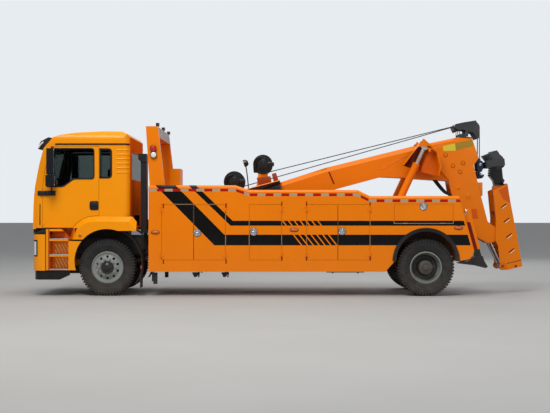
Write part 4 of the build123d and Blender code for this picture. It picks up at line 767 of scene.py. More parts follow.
def stepCoat(tree, spot, colour):
    # Dark recesses with pale slashes on their back walls, and the post beside them darker as painted shade
    v = slashSizes
    x, y, z = axesOf(tree, spot)
    away = abs(y)
    colour = blendColour(tree, away < v["recess"], colour, tone(*v["recessColour"]))
    colour = blendColour(tree, x.within(v["post"]), colour, tone(*v["postShadeColour"]))
    along = calc(tree, "FRACT", (x - z * v["lean"]) / v["step"] + 100.0)
    level = either([z.within(limits) for limits in v["levels"]])
    mask = (along < v["fill"]) * x.within(v["x"]) * level * away.within(v["wall"])
    return blendColour(tree, mask, colour, tone(*v["colour"]))


for finishName, finishValues in finishes.items():
    makeFinish(finishName, finishValues)
coated = {
    "lockerPaint": ("bodyPaint", liveryCoat),
    "tubePaint": ("bodyPaint", tubeShadeCoat),
    "frontRimPaint": ("rimPaint", hubCoat(frontAxleX, 0.121, (30, 30, 31))),
    "rearRimPaint": ("rimPaint", hubCoat(rearAxleX, 0.236, (34, 34, 33))),
    "shellPaint": ("cabPaint", shellCoat),
    "doorPaint": ("cabPaint", zoneCoat(*doorZones)),
    "bumperPaint": ("cabPaint", zoneCoat(*bumperZones)),
    "lampGlass": ("whiteLens", zoneCoat(*lampZones)),
    "gantryPaint": ("bodyPaint", zoneCoat(*gantryZones)),
    "armPaint": ("boomPaint", armCoat),
    "stepPaint": ("cabPaint", stepCoat),
}
for finishName, (base, extraCoat) in coated.items():
    makeFinish(finishName, finishes[base], extraCoat, shadeRear=finishName == "shellPaint")


glassSkin = {
    "colour": (150, 162, 160),
    "dust": 0.25,
    "dustHeight": 2.6,
    "mottle": 0.05,
    "rough": 0.02,
    "dustRough": 0.3,
    "bend": 1.1,
}


def makeGlass():
    v = glassSkin
    material, tree, inputs = newMaterial("darkGlass")
    feeds = {"Vector": coordinate(tree, "Object"), "Color": tone(*v["colour"])}
    feeds.update({"Dust": v["dust"], "Dust Height": v["dustHeight"], "Mottle": v["mottle"]})
    weathered = useGroup(tree, weatherGroup, feeds)
    skin = {
        "Base Color": weathered["Color"],
        "Roughness": Number(tree, weathered["Dust Mask"]) * v["dustRough"] + v["rough"],
        "Transmission Weight": 1.0,
        "IOR": v["bend"],
    }
    for key, value in skin.items():
        feed(tree, value, inputs[key])
    finish["glass"] = material


makeGlass()


treadSizes = {"scale": 12.0, "gap": 0.28, "length": 0.6, "width": 0.25, "depth": -0.003, "strength": 0.8}


def makeTreadPlate():
    # Deck plate with raised crossed bars
    v = treadSizes
    tree, spot, inputs = makeFinish("deckPlate", finishes["plateMetal"])
    feeds = {"Vector": spot, "Rotation": (0, 0, math.radians(45))}
    feeds = {"Vector": place(tree, "ShaderNodeMapping", feeds).outputs["Vector"], "Scale": v["scale"]}
    feeds.update({"Mortar Size": v["gap"], "Brick Width": v["length"], "Row Height": v["width"]})
    height = place(tree, "ShaderNodeTexBrick", feeds).outputs["Fac"]
    feeds = {"Height": height, "Distance": v["depth"], "Strength": v["strength"]}
    bump = place(tree, "ShaderNodeBump", feeds)
    feed(tree, bump.outputs["Normal"], inputs["Normal"])


makeTreadPlate()

nodeFinishes = {
    "tubePaint": ["stabilizer_tubes"],
    "gantryPaint": ["gantry_and_oil_tank"],
    "boomPaint": ["boom_arm", "fold_arm", "luff_barrels"],
    "cabPaint": ["front_panel"],
    "shellPaint": ["cab_shell"],
    "bumperPaint": ["front_bumper"],
    "doorPaint": ["cab_door_left", "cab_door_right"],
    "stepPaint": ["step_boxes"],
    "chassisPaint": ["chassis_frame", "subframe", "tanks"],
    "castIron": ["driveline", "axles_and_springs", "knuckle_left", "knuckle_right"],
    "rubber": ["mudguards"],
    "blackPlastic": ["air_intake", "sun_visor"],
    "cabFabric": ["cab_interior"],
    "glass": ["cab_glass", "door_glass_left", "door_glass_right"],
    "blackSteel": ["winches", "boom_head", "inner_arm", "crosshead", "fold_barrels"]
    + ["stabilizer_leg_left", "stabilizer_leg_right"],
    "chrome": ["luff_rods", "fold_rods"],
    "ropeSteel": ["ropes_and_hooks"],
    "deckPlate": ["deck"],
    "lampGlass": ["lamps"],
    "frontRimPaint": ["front_rim_left", "front_rim_right"],
    "rearRimPaint": ["rear_rims_left", "rear_rims_right"],
    "tyreRubber": ["front_tyre_left", "front_tyre_right", "rear_tyres_left", "rear_tyres_right"],
    "lockerPaint": [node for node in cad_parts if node.startswith("locker_")],
}
for finishName, nodes in nodeFinishes.items():
    for node in nodes:
        paint(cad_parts[node].data, finishName)
print("stage: finishes made")


# Tyres: ribs and grooves spun round, shoulder lugs in a ring on both sides. Outlines are (radius, y)
tyreSizes = {
    "steps": 96,
    "lugCount": 56,
    "lugHalf": 0.0185,
    "twinInner": 0.755,
    "twinOuter": 1.095,
    "frontTrack": 1.02,
}
tyreHalf = [(0.2925, 0.100), (0.2925, 0.112), (0.300, 0.119), (0.318, 0.126), (0.333, 0.1335)]
tyreHalf += [(0.338, 0.136), (0.343, 0.1345), (0.372, 0.1435), (0.400, 0.1480), (0.404, 0.1495)]
tyreHalf += [(0.408, 0.1485), (0.440, 0.1490), (0.452, 0.1470), (0.456, 0.1475), (0.460, 0.1440)]
tyreHalf += [(0.478, 0.1340), (0.492, 0.1180), (0.499, 0.0900), (0.501, 0.0420), (0.497, 0.0390)]
tyreHalf += [(0.497, 0.0300), (0.502, 0.0270)]
lugShape = [(0.458, 0.1440), (0.462, 0.1485), (0.486, 0.1470), (0.508, 0.1395), (0.5185, 0.1270)]
lugShape += [(0.5210, 0.1130), (0.5215, 0.0440), (0.494, 0.0420), (0.470, 0.1100)]
ribShape = [(0.494, 0.0270), (0.5215, 0.0260), (0.5215, -0.0260), (0.494, -0.0270)]


def makeTyre():
    v = tyreSizes
    profile = tyreHalf + [(r, -h) for r, h in reversed(tyreHalf)]
    parts = [addSpin(profile, (0, 0, 0), v["steps"], closed=True)]
    for shape, sign in ((lugShape, 1), (lugShape, -1), (ribShape, 1)):
        outline = [(-v["lugHalf"], sign * h, r) for r, h in shape]
        lug = addSlab(outline, (2 * v["lugHalf"], 0, 0))
        parts.append(ringOf(lug, v["lugCount"], (0, 0, 0)))
    return joined(parts)


tyreMaster = makeTyre()
for side, sign in sides.items():
    front = copied(tyreMaster, (frontAxleX, sign * tyreSizes["frontTrack"], wheelZ))
    dress(front, f"treadedFrontTyre_{side}", f"front_wheel_{side}", "tyreRubber", 30)
    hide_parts(f"front_tyre_{side}")
    twins = [
        copied(tyreMaster, (rearAxleX, sign * tyreSizes[key], wheelZ), turnZ=turn)
        for key, turn in (("twinInner", 0), ("twinOuter", math.pi))
    ]
    rear = joined(twins)
    dress(rear, f"treadedRearTyres_{side}", f"rear_wheels_{side}", "tyreRubber", 30)
    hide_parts(f"rear_tyres_{side}")
bpy.data.objects.remove(tyreMaster)
print("stage: tyres made")

# Wheel nuts on washers round their studs, and hub caps with a ring of bolts
nutSizes = {
    "count": 10,
    "radius": 0.0165,
    "height": 0.026,
    "washer": (0.021, 0.004),
    "stud": (0.0095, 0.012),
}
hubs = {
    "front": {
        "body": "front_wheel",
        "x": frontAxleX,
        "nutFace": 1.150,
        "nutCircle": 0.146,
        "nutCoat": "rimPaint",
        "y": tyreSizes["frontTrack"],
        "cap": [(0.0, 0.222), (0.048, 0.222), (0.056, 0.218), (0.060, 0.204)]
        + [(0.074, 0.200), (0.080, 0.194), (0.080, 0.180)],
        "capCoat": "blackSteel",
        "bolt": (0.094, 0.186, 0.200, 0.008),
        "bolts": 10,
    },
    "rear": {
        "body": "rear_wheels",
        "x": rearAxleX,
        "nutFace": 1.024,
        "nutCircle": 0.168,
        "nutCoat": "castIron",
        "y": tyreSizes["twinOuter"],
        "cap": [(0.0, 0.156), (0.040, 0.156), (0.048, 0.152), (0.052, 0.128)]
        + [(0.112, 0.122), (0.124, 0.114), (0.128, 0.060), (0.128, 0.040)],
        "capCoat": "castIron",
        "bolt": (0.082, 0.120, 0.138, 0.009),
        "bolts": 12,
    },
}


def makeNutRing(x, face, circle, sign):
    v = nutSizes
    top = face + v["height"]
    washer, thick = v["washer"]
    stud, proud = v["stud"]
    rods = [
        (face, top, v["radius"], 6, 0.002),
        (face - thick, face + thick, washer, 16, 0.0),
        (top - 0.001, top + proud, stud, 12, 0.002),
    ]
    parts = [sideRod(x + circle, wheelZ, sign * near, sign * far, *rest) for near, far, *rest in rods]
    return ringOf(joined(parts), v["count"], (x, 0, wheelZ))


def makeHub(name, v, side, sign):
    body = f"{v['body']}_{side}"
    nuts = makeNutRing(v["x"], v["nutFace"], v["nutCircle"], sign)
    dress(nuts, f"{name}Nuts_{side}", body, v["nutCoat"], 25)
    cap = addSpin(v["cap"], (v["x"], sign * v["y"], wheelZ), 40, (0, sign, 0))
    circle, near, far, radius = v["bolt"]
    ends = (sign * (v["y"] + near), sign * (v["y"] + far))
    bolt = sideRod(v["x"] + circle, wheelZ, *ends, radius, 6, 0.0015)
    bolts = ringOf(bolt, v["bolts"], (v["x"], 0, wheelZ))
    dress(joined([cap, bolts]), f"{name}HubCap_{side}", body, v["capCoat"], 30, "rim_paint")


for side, sign in sides.items():
    for hubName, hubValues in hubs.items():
        makeHub(hubName, hubValues, side, sign)
print("stage: wheel details made")

# Locker latches: dished chrome rings with a folding handle and a lock
latchPlaces = {
    "locker_door_front_b": (1.555, 1.158),
    "locker_door_middle": (0.522, 1.173),
    "locker_door_rear_b": (-1.098, 1.188),
    "locker_flap": (-2.590, 1.640),
}
latchSizes = {"radius": 0.064, "dish": 0.052, "handle": 0.042, "seat": 0.074, "face": 1.250}


def makeLatch():
    radius, dish, handle = (latchSizes[key] for key in ("radius", "dish", "handle"))
    profile = [(radius, 0.0), (radius, 0.005), (radius - 0.005, 0.009)]
    profile += [(dish, 0.008), (dish - 0.004, 0.002), (0.0, 0.001)]
    ring = addSpin(profile, (0, 0, 0), 40)
    bar = addBlock((-0.010, 0.002, -handle), (0.010, 0.011, handle), 0.004, 3)
    grip = addBlock((-0.026, 0.003, -0.010), (0.026, 0.014, 0.012), 0.005, 3)
    lock = sideRod(0, -0.028, 0.002, 0.013, 0.008, 20, 0.0015)
    return joined([ring, bar, grip, lock])


latchMaster = makeLatch()
for door, (x, z) in latchPlaces.items():
    face = latchSizes["face"]
    latch = copied(latchMaster, (x, face + 0.002, z))
    dressPair(latch, f"latch_{door}", f"{door}_{{side}}", "chrome", 30)
    seat = sideRod(x, z, face, face + 0.003, latchSizes["seat"], 32, 0.001)
    dressPair(seat, f"latchSeat_{door}", f"{door}_{{side}}", "blackPlastic", 30)
bpy.data.objects.remove(latchMaster)

# Side marker lamps: an amber lens in a black frame
markerSpots = {"front": (2.323, 1.169), "middle": (-0.218, 1.213), "rear": (-3.226, 1.250)}
markerSizes = {"halfLength": 0.074, "halfHeight": 0.031, "lens": 0.022, "face": 1.250}


def makeMarker():
    v = markerSizes
    deselectAll()
    bpy.ops.mesh.primitive_uv_sphere_add(segments=32, ring_count=16, radius=1)
    lens = bpy.context.object
    lens.scale = (v["halfLength"], v["lens"], v["halfHeight"])
    bakePlace(lens)
    startEdit()
    bpy.ops.mesh.bisect(plane_co=(0, 0, 0), plane_no=across, clear_inner=True, use_fill=True)
    deselectAll()
    bpy.ops.mesh.primitive_cylinder_add(vertices=40, radius=1, depth=1, rotation=(math.pi / 2, 0, 0))
    seat = bpy.context.object
    bakePlace(seat)
    seat.scale = (v["halfLength"] + 0.008, 0.008, v["halfHeight"] + 0.007)
    seat.location = (0, 0.004, 0)
    bakePlace(seat)
    applyBevel(seat, 0.002)
    return lens, seat


lensMaster, seatMaster = makeMarker()
for spotName, (x, z) in markerSpots.items():
    lens = copied(lensMaster, (x, markerSizes["face"] + 0.003, z))
    dressPair(lens, f"markerLens_{spotName}", "chassis", "amberLens", 40)
    seat = copied(seatMaster, (x, markerSizes["face"], z))
    dressPair(seat, f"markerSeat_{spotName}", "chassis", "blackPlastic", 40)
bpy.data.objects.remove(lensMaster)
bpy.data.objects.remove(seatMaster)
print("stage: locker details made")

# Cab skin: drip line, pressed ribs, window seals, handle, a painted highlight along the visor's end, and a
# lamp on the wing
cabSizes = {
    "wall": 1.140,
    "cornerX": 2.953,
    "cornerRadius": 0.150,
    "cornerTurn": 62,
    "dripLine": (4.174, 2.790),
    "ribFront": 3.047,
    "ribTop": 2.681,
    "ribStep": 0.0825,
    "ribs": 6,
    "sealWidth": 0.024,
    "quarterWidth": 0.036,
}
windowCorners = [(4.336, 1.996, 0.02), (4.316, 2.272, 0.0), (4.237, 2.626, 0.05), (4.188, 2.719, 0.04)]
windowCorners += [(3.451, 2.719, 0.065), (3.451, 2.140, 0.06), (3.832, 2.140, 0.15), (4.027, 1.996, 0.15)]
quarterCorners = [(3.362, 2.713, 0.015), (3.128, 2.713, 0.075), (3.128, 2.157, 0.075), (3.362, 2.157, 0.015)]
handleCorners = [(3.378, 1.573, 0.03), (3.542, 1.573, 0.05), (3.542, 1.743, 0.05), (3.378, 1.743, 0.03)]
slotCorners = [(4.446, 1.300), (4.466, 1.300), (4.462, 1.690), (4.444, 1.690)]
visorHighlightLine = [(4.498, 1.062, 2.724), (4.470, 1.062, 2.792), (4.406, 1.062, 2.836)]


def wallLine(frontX, z, lift):
    # Points along the cab's side and round its rear corner
    v = cabSizes
    reach = v["cornerRadius"] + lift
    away = v["wall"] - v["cornerRadius"]
    points = [(frontX, v["wall"] + lift, z), (v["cornerX"], v["wall"] + lift, z)]
    for step in range(1, 6):
        turn = math.radians(v["cornerTurn"] * step / 5)
        points.append((v["cornerX"] - reach * math.sin(turn), away + reach * math.cos(turn), z))
    return points


def makeCabSkin():
    v = cabSizes
    wall = v["wall"]
    seat = wall + 0.0005
    drip = addTube(wallLine(*v["dripLine"], 0.003), 0.015, 12, smoothLine=False)
    dressPair(drip, "dripLine", "cab", "rubber")
    levels = [v["ribTop"] - index * v["ribStep"] for index in range(v["ribs"])]
    ribs = [addTube(wallLine(v["ribFront"], z, -0.013), 0.022, 12, smoothLine=False) for z in levels]
    dressPair(joined(ribs), "pressedRibs", "cab", "cabPaint", 50)
    seal = addFrame(roundOff(windowCorners), seat, wall + 0.007, v["sealWidth"], 0.002)
    dressPair(seal, "windowSeal", "cab_door_{side}", "rubber")
    glazing = addFrame(roundOff(quarterCorners), seat, wall + 0.006, v["quarterWidth"], 0.002)
    dressPair(glazing, "quarterSeal", "cab", "rubber")
    bezel = sideSlab(roundOff(handleCorners), seat, wall + 0.008, 0.003)
    grip = addBlock((3.425, wall + 0.007, 1.602), (3.500, wall + 0.024, 1.722), 0.016, 4)
    dressPair(joined([bezel, grip]), "doorHandle", "cab_door_{side}", "blackPlastic")
    dressPair(sideSlab(slotCorners, 1.09, 1.1425, 0.002), "cornerSlot", "cab", "rubber")
    # A pale line as painted highlight along the visor's rounded end
    dressPair(addTube(visorHighlightLine, 0.014, 10), "visorEndHighlight", "cab", "whiteLens")
    dressPair(addDome((3.700, 1.244, 1.105), 0.030, 0.014, 24), "sideRepeater", "cab", "repeaterLens")


# Mirrors: body, finish, own slot and blocks, as low and high corners, bevel and its steps
mirrors = {
    "mirrorGlass": (
        ("cab_door_{side}", "chrome", "glass"),
        [
            ((4.1475, 1.242, 2.246), (4.1525, 1.428, 2.683), 0.002, 2),
            ((4.1345, 1.242, 2.022), (4.1395, 1.428, 2.198), 0.002, 2),
        ],
    ),
    "mirrorArmFoot": (
        ("cab_door_{side}", "blackPlastic", None),
        [((4.167, 1.130, 1.840), (4.3535, 1.176, 1.932), 0.010, 3)],
    ),
    "mirrorBracket": (
        ("cab", "blackPlastic", None),
        [
            ((4.362, 1.060, 1.840), (4.502, 1.150, 1.932), 0.014, 3),
            ((4.3560, 1.100, 1.841), (4.462, 1.175, 1.931), 0.010, 3),
        ],
    ),
}


def makeMirrors():
    for name, ((body, coat, slotName), blocks) in mirrors.items():
        piece = joined([addBlock(*block) for block in blocks])
        dressPair(piece, name, body, coat, slotName=slotName)


# Nose: filler above the bumper, lip below the front panel, wipers
noseSizes = {
    "hinge": (4.330, 0.850),
    "radius": 0.374,
    "arc": (100, -4.25, 13),
    "top": 1.120,
    "ends": (4.262, 4.535),
    "half": 1.150,
    "bracket": (0.39, 0.51),
    "lipHalf": 1.030,
    "wipers": (0.78, 0.12, -0.54),
    "wiperArm": [(4.560, 0.0, 1.965), (4.555, -0.06, 2.06), (4.515, -0.30, 2.245)],
    "wiperBlade": [(4.545, -0.62, 2.060), (4.560, 0.02, 2.078)],
}
noseLip = [(4.575, 1.153), (4.594, 1.153), (4.5965, 1.2262), (4.500, 1.2262), (4.520, 1.206)]


def makeNose():
    v = noseSizes
    first, turnStep, count = v["arc"]
    filler = [(v["ends"][0], v["top"])]
    for step in range(count):
        turn = math.radians(first + turnStep * step)
        x, z = v["radius"] * math.cos(turn), v["radius"] * math.sin(turn)
        filler.append((v["hinge"][0] + x, v["hinge"][1] + z))
    filler.append((v["ends"][1], v["top"]))
    middle = sideSlab(filler, -v["bracket"][0], v["bracket"][0], 0.002)
    ends = sideSlab(filler, v["bracket"][1], v["half"], 0.002)
    dress(joined([middle, ends, copied(ends, flipY=True)]), "noseFiller", "chassis", "blackPlastic")
    dress(sideSlab(noseLip, -v["lipHalf"], v["lipHalf"], 0.002), "noseLip", "cab", "blackPlastic")
    wipers = []
    for y in v["wipers"]:
        arm, blade = ([(x, y + shift, z) for x, shift, z in v[key]] for key in ("wiperArm", "wiperBlade"))
        wipers += [addTube(arm, 0.009), addBlock(*blade, 0.003)]
    dress(joined(wipers), "wipers", "cab", "blackPlastic")


# Treads on the steps: a plate with a row of teeth
stepSizes = {
    "rear": 3.925,
    "front": 4.258,
    "inner": 1.120,
    "outer": 1.2420,
    "levels": (1.048, 0.761, 0.493),
    "tooth": 0.012,
    "toothStep": 0.026,
}


def makeTreads():
    v = stepSizes
    for order, level in enumerate(v["levels"]):
        high = (v["front"], v["outer"] + 0.0015, level + 0.005)
        parts = [addBlock((v["rear"], v["inner"], level - 0.016), high, 0.003)]
        x = v["rear"] + 0.02
        while x < v["front"] - 0.02:
            high = (x + v["tooth"], v["outer"] - 0.008, level + 0.010)
            parts.append(addBlock((x, v["inner"] + 0.012, level + 0.004), high, 0.002, 1))
            x += v["toothStep"]
        dressPair(joined(parts), f"stepTread{order}", "chassis", "plateMetal")


# Hangers below the lockers, back walls of the steps in a darker orange as painted shade, and the small
# reflector on the flap
hangers = {"x": (1.605, 1.065), "wedge": [(-0.075, 0.425), (-0.030, 0.345), (0.020, 0.335), (0.060, 0.425)]}
stepBackShade = [(3.925, 1.052), (3.946, 1.092), (3.985, 1.145), (4.030, 1.188), (4.258, 1.188), (4.258, 1.052)]


def makeHangers():
    parts = [addBlock((2.297, 1.080, 0.220), (2.367, 1.180, 0.425), 0.006)]
    for x in hangers["x"]:
        wedge = [(x + shift, z) for shift, z in hangers["wedge"]]
        parts.append(sideSlab(wedge, 0.980, 1.060, 0.005))
        parts.append(addRod((x - 0.060, 1.020, 0.335), (x - 0.075, 1.020, 0.425), 0.012, 12))
    dressPair(joined(parts), "lockerHangers", "chassis", "blackPlastic")


makeCabSkin()
makeMirrors()
makeNose()
makeTreads()
makeHangers()
dressPair(sideSlab(stepBackShade, 1.020, 1.040, 0.002), "stepBackShade", "chassis", "shadeAndLabelPaint")
dressPair(addBlock((2.572, 1.188, 0.500), (2.596, 1.232, 0.560)), "flapReflector", "chassis", "redLens")
print("stage: cab details made")

# Gantry lamps: lenses in black rims, whose outline is (radius, y)
gantryLamps = {"red": (2.365, 2.706), "white": (2.358, 2.589)}
gantrySizes = {"face": 1.2200, "lens": (0.051, 0.016)}
gantryRim = [(0.051, 0.0), (0.051, 0.008), (0.055, 0.010), (0.060, 0.006), (0.060, -0.038), (0.056, -0.038)]


def makeGantryLamps():
    face = gantrySizes["face"]
    for key, (x, z) in gantryLamps.items():
        lens = addDome((x, face - 0.002, z), *gantrySizes["lens"])
        dressPair(lens, f"gantryLens_{key}", "chassis", f"{key}Lens")
        rim = addSpin(gantryRim, (x, face, z), 32)
        dressPair(rim, f"gantryRim_{key}", "chassis", "blackPlastic")


makeGantryLamps()

# Winches, each with its drum's x, z, wound radius and flange radius: rope turns, bolted motors, hoses
winchTable = {"one": (0.364, 2.454, 0.155, 0.185), "two": (0.912, 2.122, 0.114, 0.200)}
winchSizes = {
    "ropePitch": 0.019,
    "drumHalf": 0.180,
    "middle": 0.013,
    "motor": (0.330, 0.090),
    "gear": (0.340, 0.072),
    "plate": (0.2065, 0.2225, 0.2260),
    "hub": 0.060,
    "hoses": (0.0, 0.030),
}


def makeWinch(name, x, z, wound, flange):
    v = winchSizes
    pitch, motorEnd = v["ropePitch"], v["motor"][0]
    count = int((v["drumHalf"] - v["middle"]) / pitch)
    turns = []
    for side in (1, -1):
        profile = []
        for index in range(count):
            for lift, share in ((-0.002, 0), (0.005, 0.3), (0.005, 0.7)):
                profile.append((wound + lift, v["middle"] + (index + share) * pitch))
        profile.append((wound - 0.002, v["middle"] + count * pitch))
        turns.append(addSpin(profile, (x, 0, z), axis=(0, side, 0)))
    dress(joined(turns), f"ropeTurns_{name}", "boom", "ropeSteel")
    inner, outer, crown = v["plate"]
    rim = flange + 0.004
    plate = [(rim, inner), (rim, outer), (flange * 0.9, crown), (v["hub"], crown), (v["hub"], inner)]
    parts = []
    for side, (face, radius) in ((1, v["motor"]), (-1, v["gear"])):
        cover = [(0.0, 0.030), (radius * 0.42, 0.030), (radius * 0.48, 0.024), (radius * 0.5, 0.012)]
        cover += [(radius * 0.92, 0.010), (radius, 0.004), (radius, -0.030)]
        parts.append(addSpin(cover, (x, side * face, z), 32, (0, side, 0)))
        bolt = sideRod(x + radius * 0.76, z, side * face, side * (face + 0.020), 0.009, 6, 0.001)
        parts.append(ringOf(bolt, 8, (x, 0, z)))
        parts.append(addSpin(plate, (x, 0, z), 48, (0, side, 0), closed=True))
    low, high = (x - 0.035, motorEnd - 0.060, z + 0.082), (x + 0.035, motorEnd - 0.010, z + 0.128)
    parts.append(addBlock(low, high, 0.006))
    parts.append(addBlock((x - 0.215, 0.236, z - 0.035), (x - 0.090, 0.300, z + 0.040), 0.008))
    dress(joined(parts), f"winchMotor_{name}", "boom", "blackSteel")
    route = [(0.020, motorEnd - 0.035, 0.115), (0.075, motorEnd + 0.004, 0.135)]
    route += [(0.150, 0.322, 0.080), (0.178, 0.300, -0.030), (0.160, 0.270, -0.160)]
    lines = [[(x + alongX - shift, y, z + up) for alongX, y, up in route] for shift in v["hoses"]]
    dress(joined([addTube(line, 0.015) for line in lines]), f"winchHoses_{name}", "boom", "rubber")


for winchName, winchValues in winchTable.items():
    makeWinch(winchName, *winchValues)

winchBase = {
    "low": [(0.485, 2.198), (0.218, 2.230), (0.199, 2.126), (0.437, 2.050)],
    "high": [(0.193, 2.274), (0.113, 2.297), (0.060, 2.140), (0.151, 2.112)],
    "gap": [(0.585, 1.930), (0.585, 1.972), (0.050, 2.110), (-0.010, 1.930)],
}
stalk = {
    "post": [(0.640, 0.200, 1.980), (0.655, 0.200, 2.20), (0.690, 0.200, 2.42)],
    "housing": [(0.0, -0.056), (0.038, -0.054), (0.065, -0.025)]
    + [(0.070, 0.025), (0.070, 0.032), (0.063, 0.032)],
    "centre": (0.700, 0.200, 2.480),
    "lens": (0.728, 0.200, 2.4707),
    "axis": (0.9, 0, -0.3),
}


# Plates on the winch base in a dark orange as painted shade, and a dark plate as painted shadow below the
# deck
def makeWinchBase():
    plates = [sideSlab(winchBase[key], 0.226, 0.242, 0.003) for key in ("low", "high")]
    dressPair(joined(plates), "winchBaseShadePlates", "boom", "paintedShadeOrange")
    dressPair(sideSlab(winchBase["gap"], 0.355, 0.372, 0.002), "winchDeckShadowPlate", "boom", "blackSteel")


def makeStalkLamp():
    # The lamp on a post beside the winches
    v = stalk
    post = addTube(v["post"], 0.011)
    housing = addSpin(v["housing"], v["centre"], 28, v["axis"])
    lens = addDome(v["lens"], 0.063, 0.010, 28, v["axis"])
    dress(joined([post, housing]), "stalkLamp", "boom", "blackSteel")
    dress(lens, "stalkLens", "boom", "whiteLens")


makeWinchBase()
makeStalkLamp()
print("stage: gantry and winch details made")

# Mast: pins with collars and dark rings of painted shadow round them, and three large pins below them as (x,
# z, radius)
mastPins = [(-3.130, 2.634), (-3.274, 2.428), (-3.465, 2.482), (-3.412, 2.313)]
mastFace = 0.270
largePins = ((-3.373, 2.005, 0.032), (-3.565, 1.849, 0.050), (-4.184, 0.952, 0.052))
pinCollar = [(0.0, 0.004), (0.018, 0.004), (0.021, 0.012), (0.030, 0.011), (0.034, 0.006), (0.034, -0.002)]
pinShadowRing = [(0.034, 0.0), (0.034, 0.003), (0.042, 0.003), (0.042, 0.0)]


def makeMastDetails():
    parts = [addSpin(pinCollar, (x, mastFace, z), 28) for x, z in mastPins]
    rings = [addSpin(pinShadowRing, (x, mastFace, z), 28, closed=True) for x, z in mastPins]
    for x, z, radius in largePins:
        collar = [(0.0, 0.016), (radius * 0.55, 0.016), (radius * 0.62, 0.008)]
        collar += [(radius, 0.008), (radius + 0.006, -0.002)]
        parts.append(addSpin(collar, (x, mastFace, z), 32))
    parts.append(addBlock((-3.846, 0.060, 1.853), (-3.690, 0.235, 2.111), 0.008))
    dressPair(joined(parts), "mastPins", "boom", "boomPaint")
    dressPair(joined(rings), "mastPinShadowRings", "boom", "seamShadePaint")


# The hoods over the luff cylinders' eyes are folded plates, open to the outside
hoodOpening = [(-2.300, 2.425), (-2.560, 2.765), (-2.675, 2.785), (-2.845, 2.730)]
hoodOpening += [(-2.915, 2.680), (-2.985, 2.400), (-2.950, 2.150), (-2.300, 2.150)]
hoodLug = [(-2.735, 2.800), (-2.830, 2.770), (-2.803, 2.672), (-2.772, 2.672)]
edgeLine = [(0.010, 2.120), (-0.855, 2.396), (-2.544, 2.812), (-3.300, 2.961)]
edgeCut = {"side": 0.240, "lift": 0.010, "down": (0.085, 0.085, 0.058), "across": 0.060}
headWindow = ((-3.524, -0.6, 3.040), (-3.411, 0.6, 3.119))


def cutCopy(name, cutters):
    # Copy of a node's mesh, with the cutters taken out of it
    deselectAll()
    piece = copied(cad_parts[name])
    cleanSkin(piece)
    for cutter in cutters:
        pick(piece)
        cut = piece.modifiers.new("opening", "BOOLEAN")
        cut.operation = "DIFFERENCE"
        cut.solver = "EXACT"
        cut.object = cutter
        bpy.ops.object.modifier_apply(modifier=cut.name)
        bpy.data.objects.remove(cutter)
    return piece


def makeBoomArm():
    side, lift, reach = (edgeCut[key] for key in ("side", "lift", "across"))
    cutters = []
    for sign in (1, -1):
        cutters.append(sideSlab(hoodOpening, *sorted((sign * 0.4415, sign * 0.620))))
        for (x, z), end, down in zip(edgeLine, edgeLine[1:], edgeCut["down"]):
            outline = [
                (x, sign * (side + lift), z + lift),
                (x, sign * (side + lift), z - down - lift * down / reach),
                (x, sign * (side - reach - lift * reach / down), z + lift),
            ]
            cutters.append(addSlab(outline, (end[0] - x, 0, end[1] - z)))
    arm = cutCopy("boom_arm", cutters)
    dress(arm, "boomArmFolded", "boom", "armPaint", 30)
    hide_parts("boom_arm")
    dressPair(sideSlab(hoodLug, 0.580, 0.596, 0.003), "hoodLug", "boom", "boomPaint")
    head = cutCopy("boom_head", [addBlock(*headWindow, 0.012)])
    dress(head, "boomHeadOpen", "boom", "blackSteel", 30)
    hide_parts("boom_head")


# Outer stage of the luff cylinders' barrels, round the rods
sleeveSizes = {
    "foot": (-1.73, 0.70),
    "axis": (-0.420984, 0.907068),
    "y": 0.510,
    "from": 1.552,
    "to": 1.940,
    "bore": 0.0465,
    "radii": (0.0660, 0.0680, 0.0700),
}


def makeSleeves():
    v = sleeveSizes
    middle, half = (v["from"] + v["to"]) / 2, (v["to"] - v["from"]) / 2
    x, z = (foot + along * middle for foot, along in zip(v["foot"], v["axis"]))
    end, barrel, collar = v["radii"]
    profile = [(v["bore"], -half), (barrel, -half), (barrel, half - 0.045), (collar, half - 0.040)]
    profile += [(collar, half - 0.004), (end, half), (v["bore"], half)]
    sleeve = addSpin(profile, (x, v["y"], z), 40, (v["axis"][0], 0, v["axis"][1]), closed=True)
    dressPair(sleeve, "luffSleeve", "luff_barrels", "boomPaint")


# Blank labels on the mast, as the words on them are left off
labelCorners = [(-3.077, 2.803), (-3.312, 2.857), (-3.635, 2.926)]
labelCorners += [(-3.664, 2.810), (-3.327, 2.718), (-3.092, 2.711)]
labels = {
    "labelBright": ("labelYellow", labelCorners[:2] + labelCorners[4:]),
    "labelDull": ("labelOlive", labelCorners[1:5]),
    "labelSmall": ("shadeAndLabelPaint", [(-3.625, 1.602), (-3.728, 1.602), (-3.752, 1.412), (-3.649, 1.412)]),
}


def makeLabels():
    for name, (coat, corners) in labels.items():
        dressPair(sideSlab(corners, mastFace - 0.001, mastFace + 0.0012), name, "boom", coat)


# Latch of the stabilizer's tube: a large dome and a small one
tubeLatch = [((-3.392, 1.0745, 1.560), 0.032, 0.020, 24), ((-3.372, 1.0745, 1.495), 0.014, 0.010, 16)]

# A pressed rib, the strap that closes the boom's foot, dark as painted shade, and hoses up the mast
boomRib = [(-1.896, 0.2405, 2.356), (-2.399, 0.2405, 2.638)]
boomStrap = [(-0.886, 2.312), (-0.918, 2.312), (-1.012, 2.086), (-0.980, 2.086)]
mastRoute = [(-2.870, 0.180, 2.200), (-2.960, 0.200, 2.080), (-3.080, 0.220, 1.930), (-3.180, 0.235, 1.870)]
mastEnd = {"spot": (-3.290, 0.245, 1.880), "spread": 0.3}


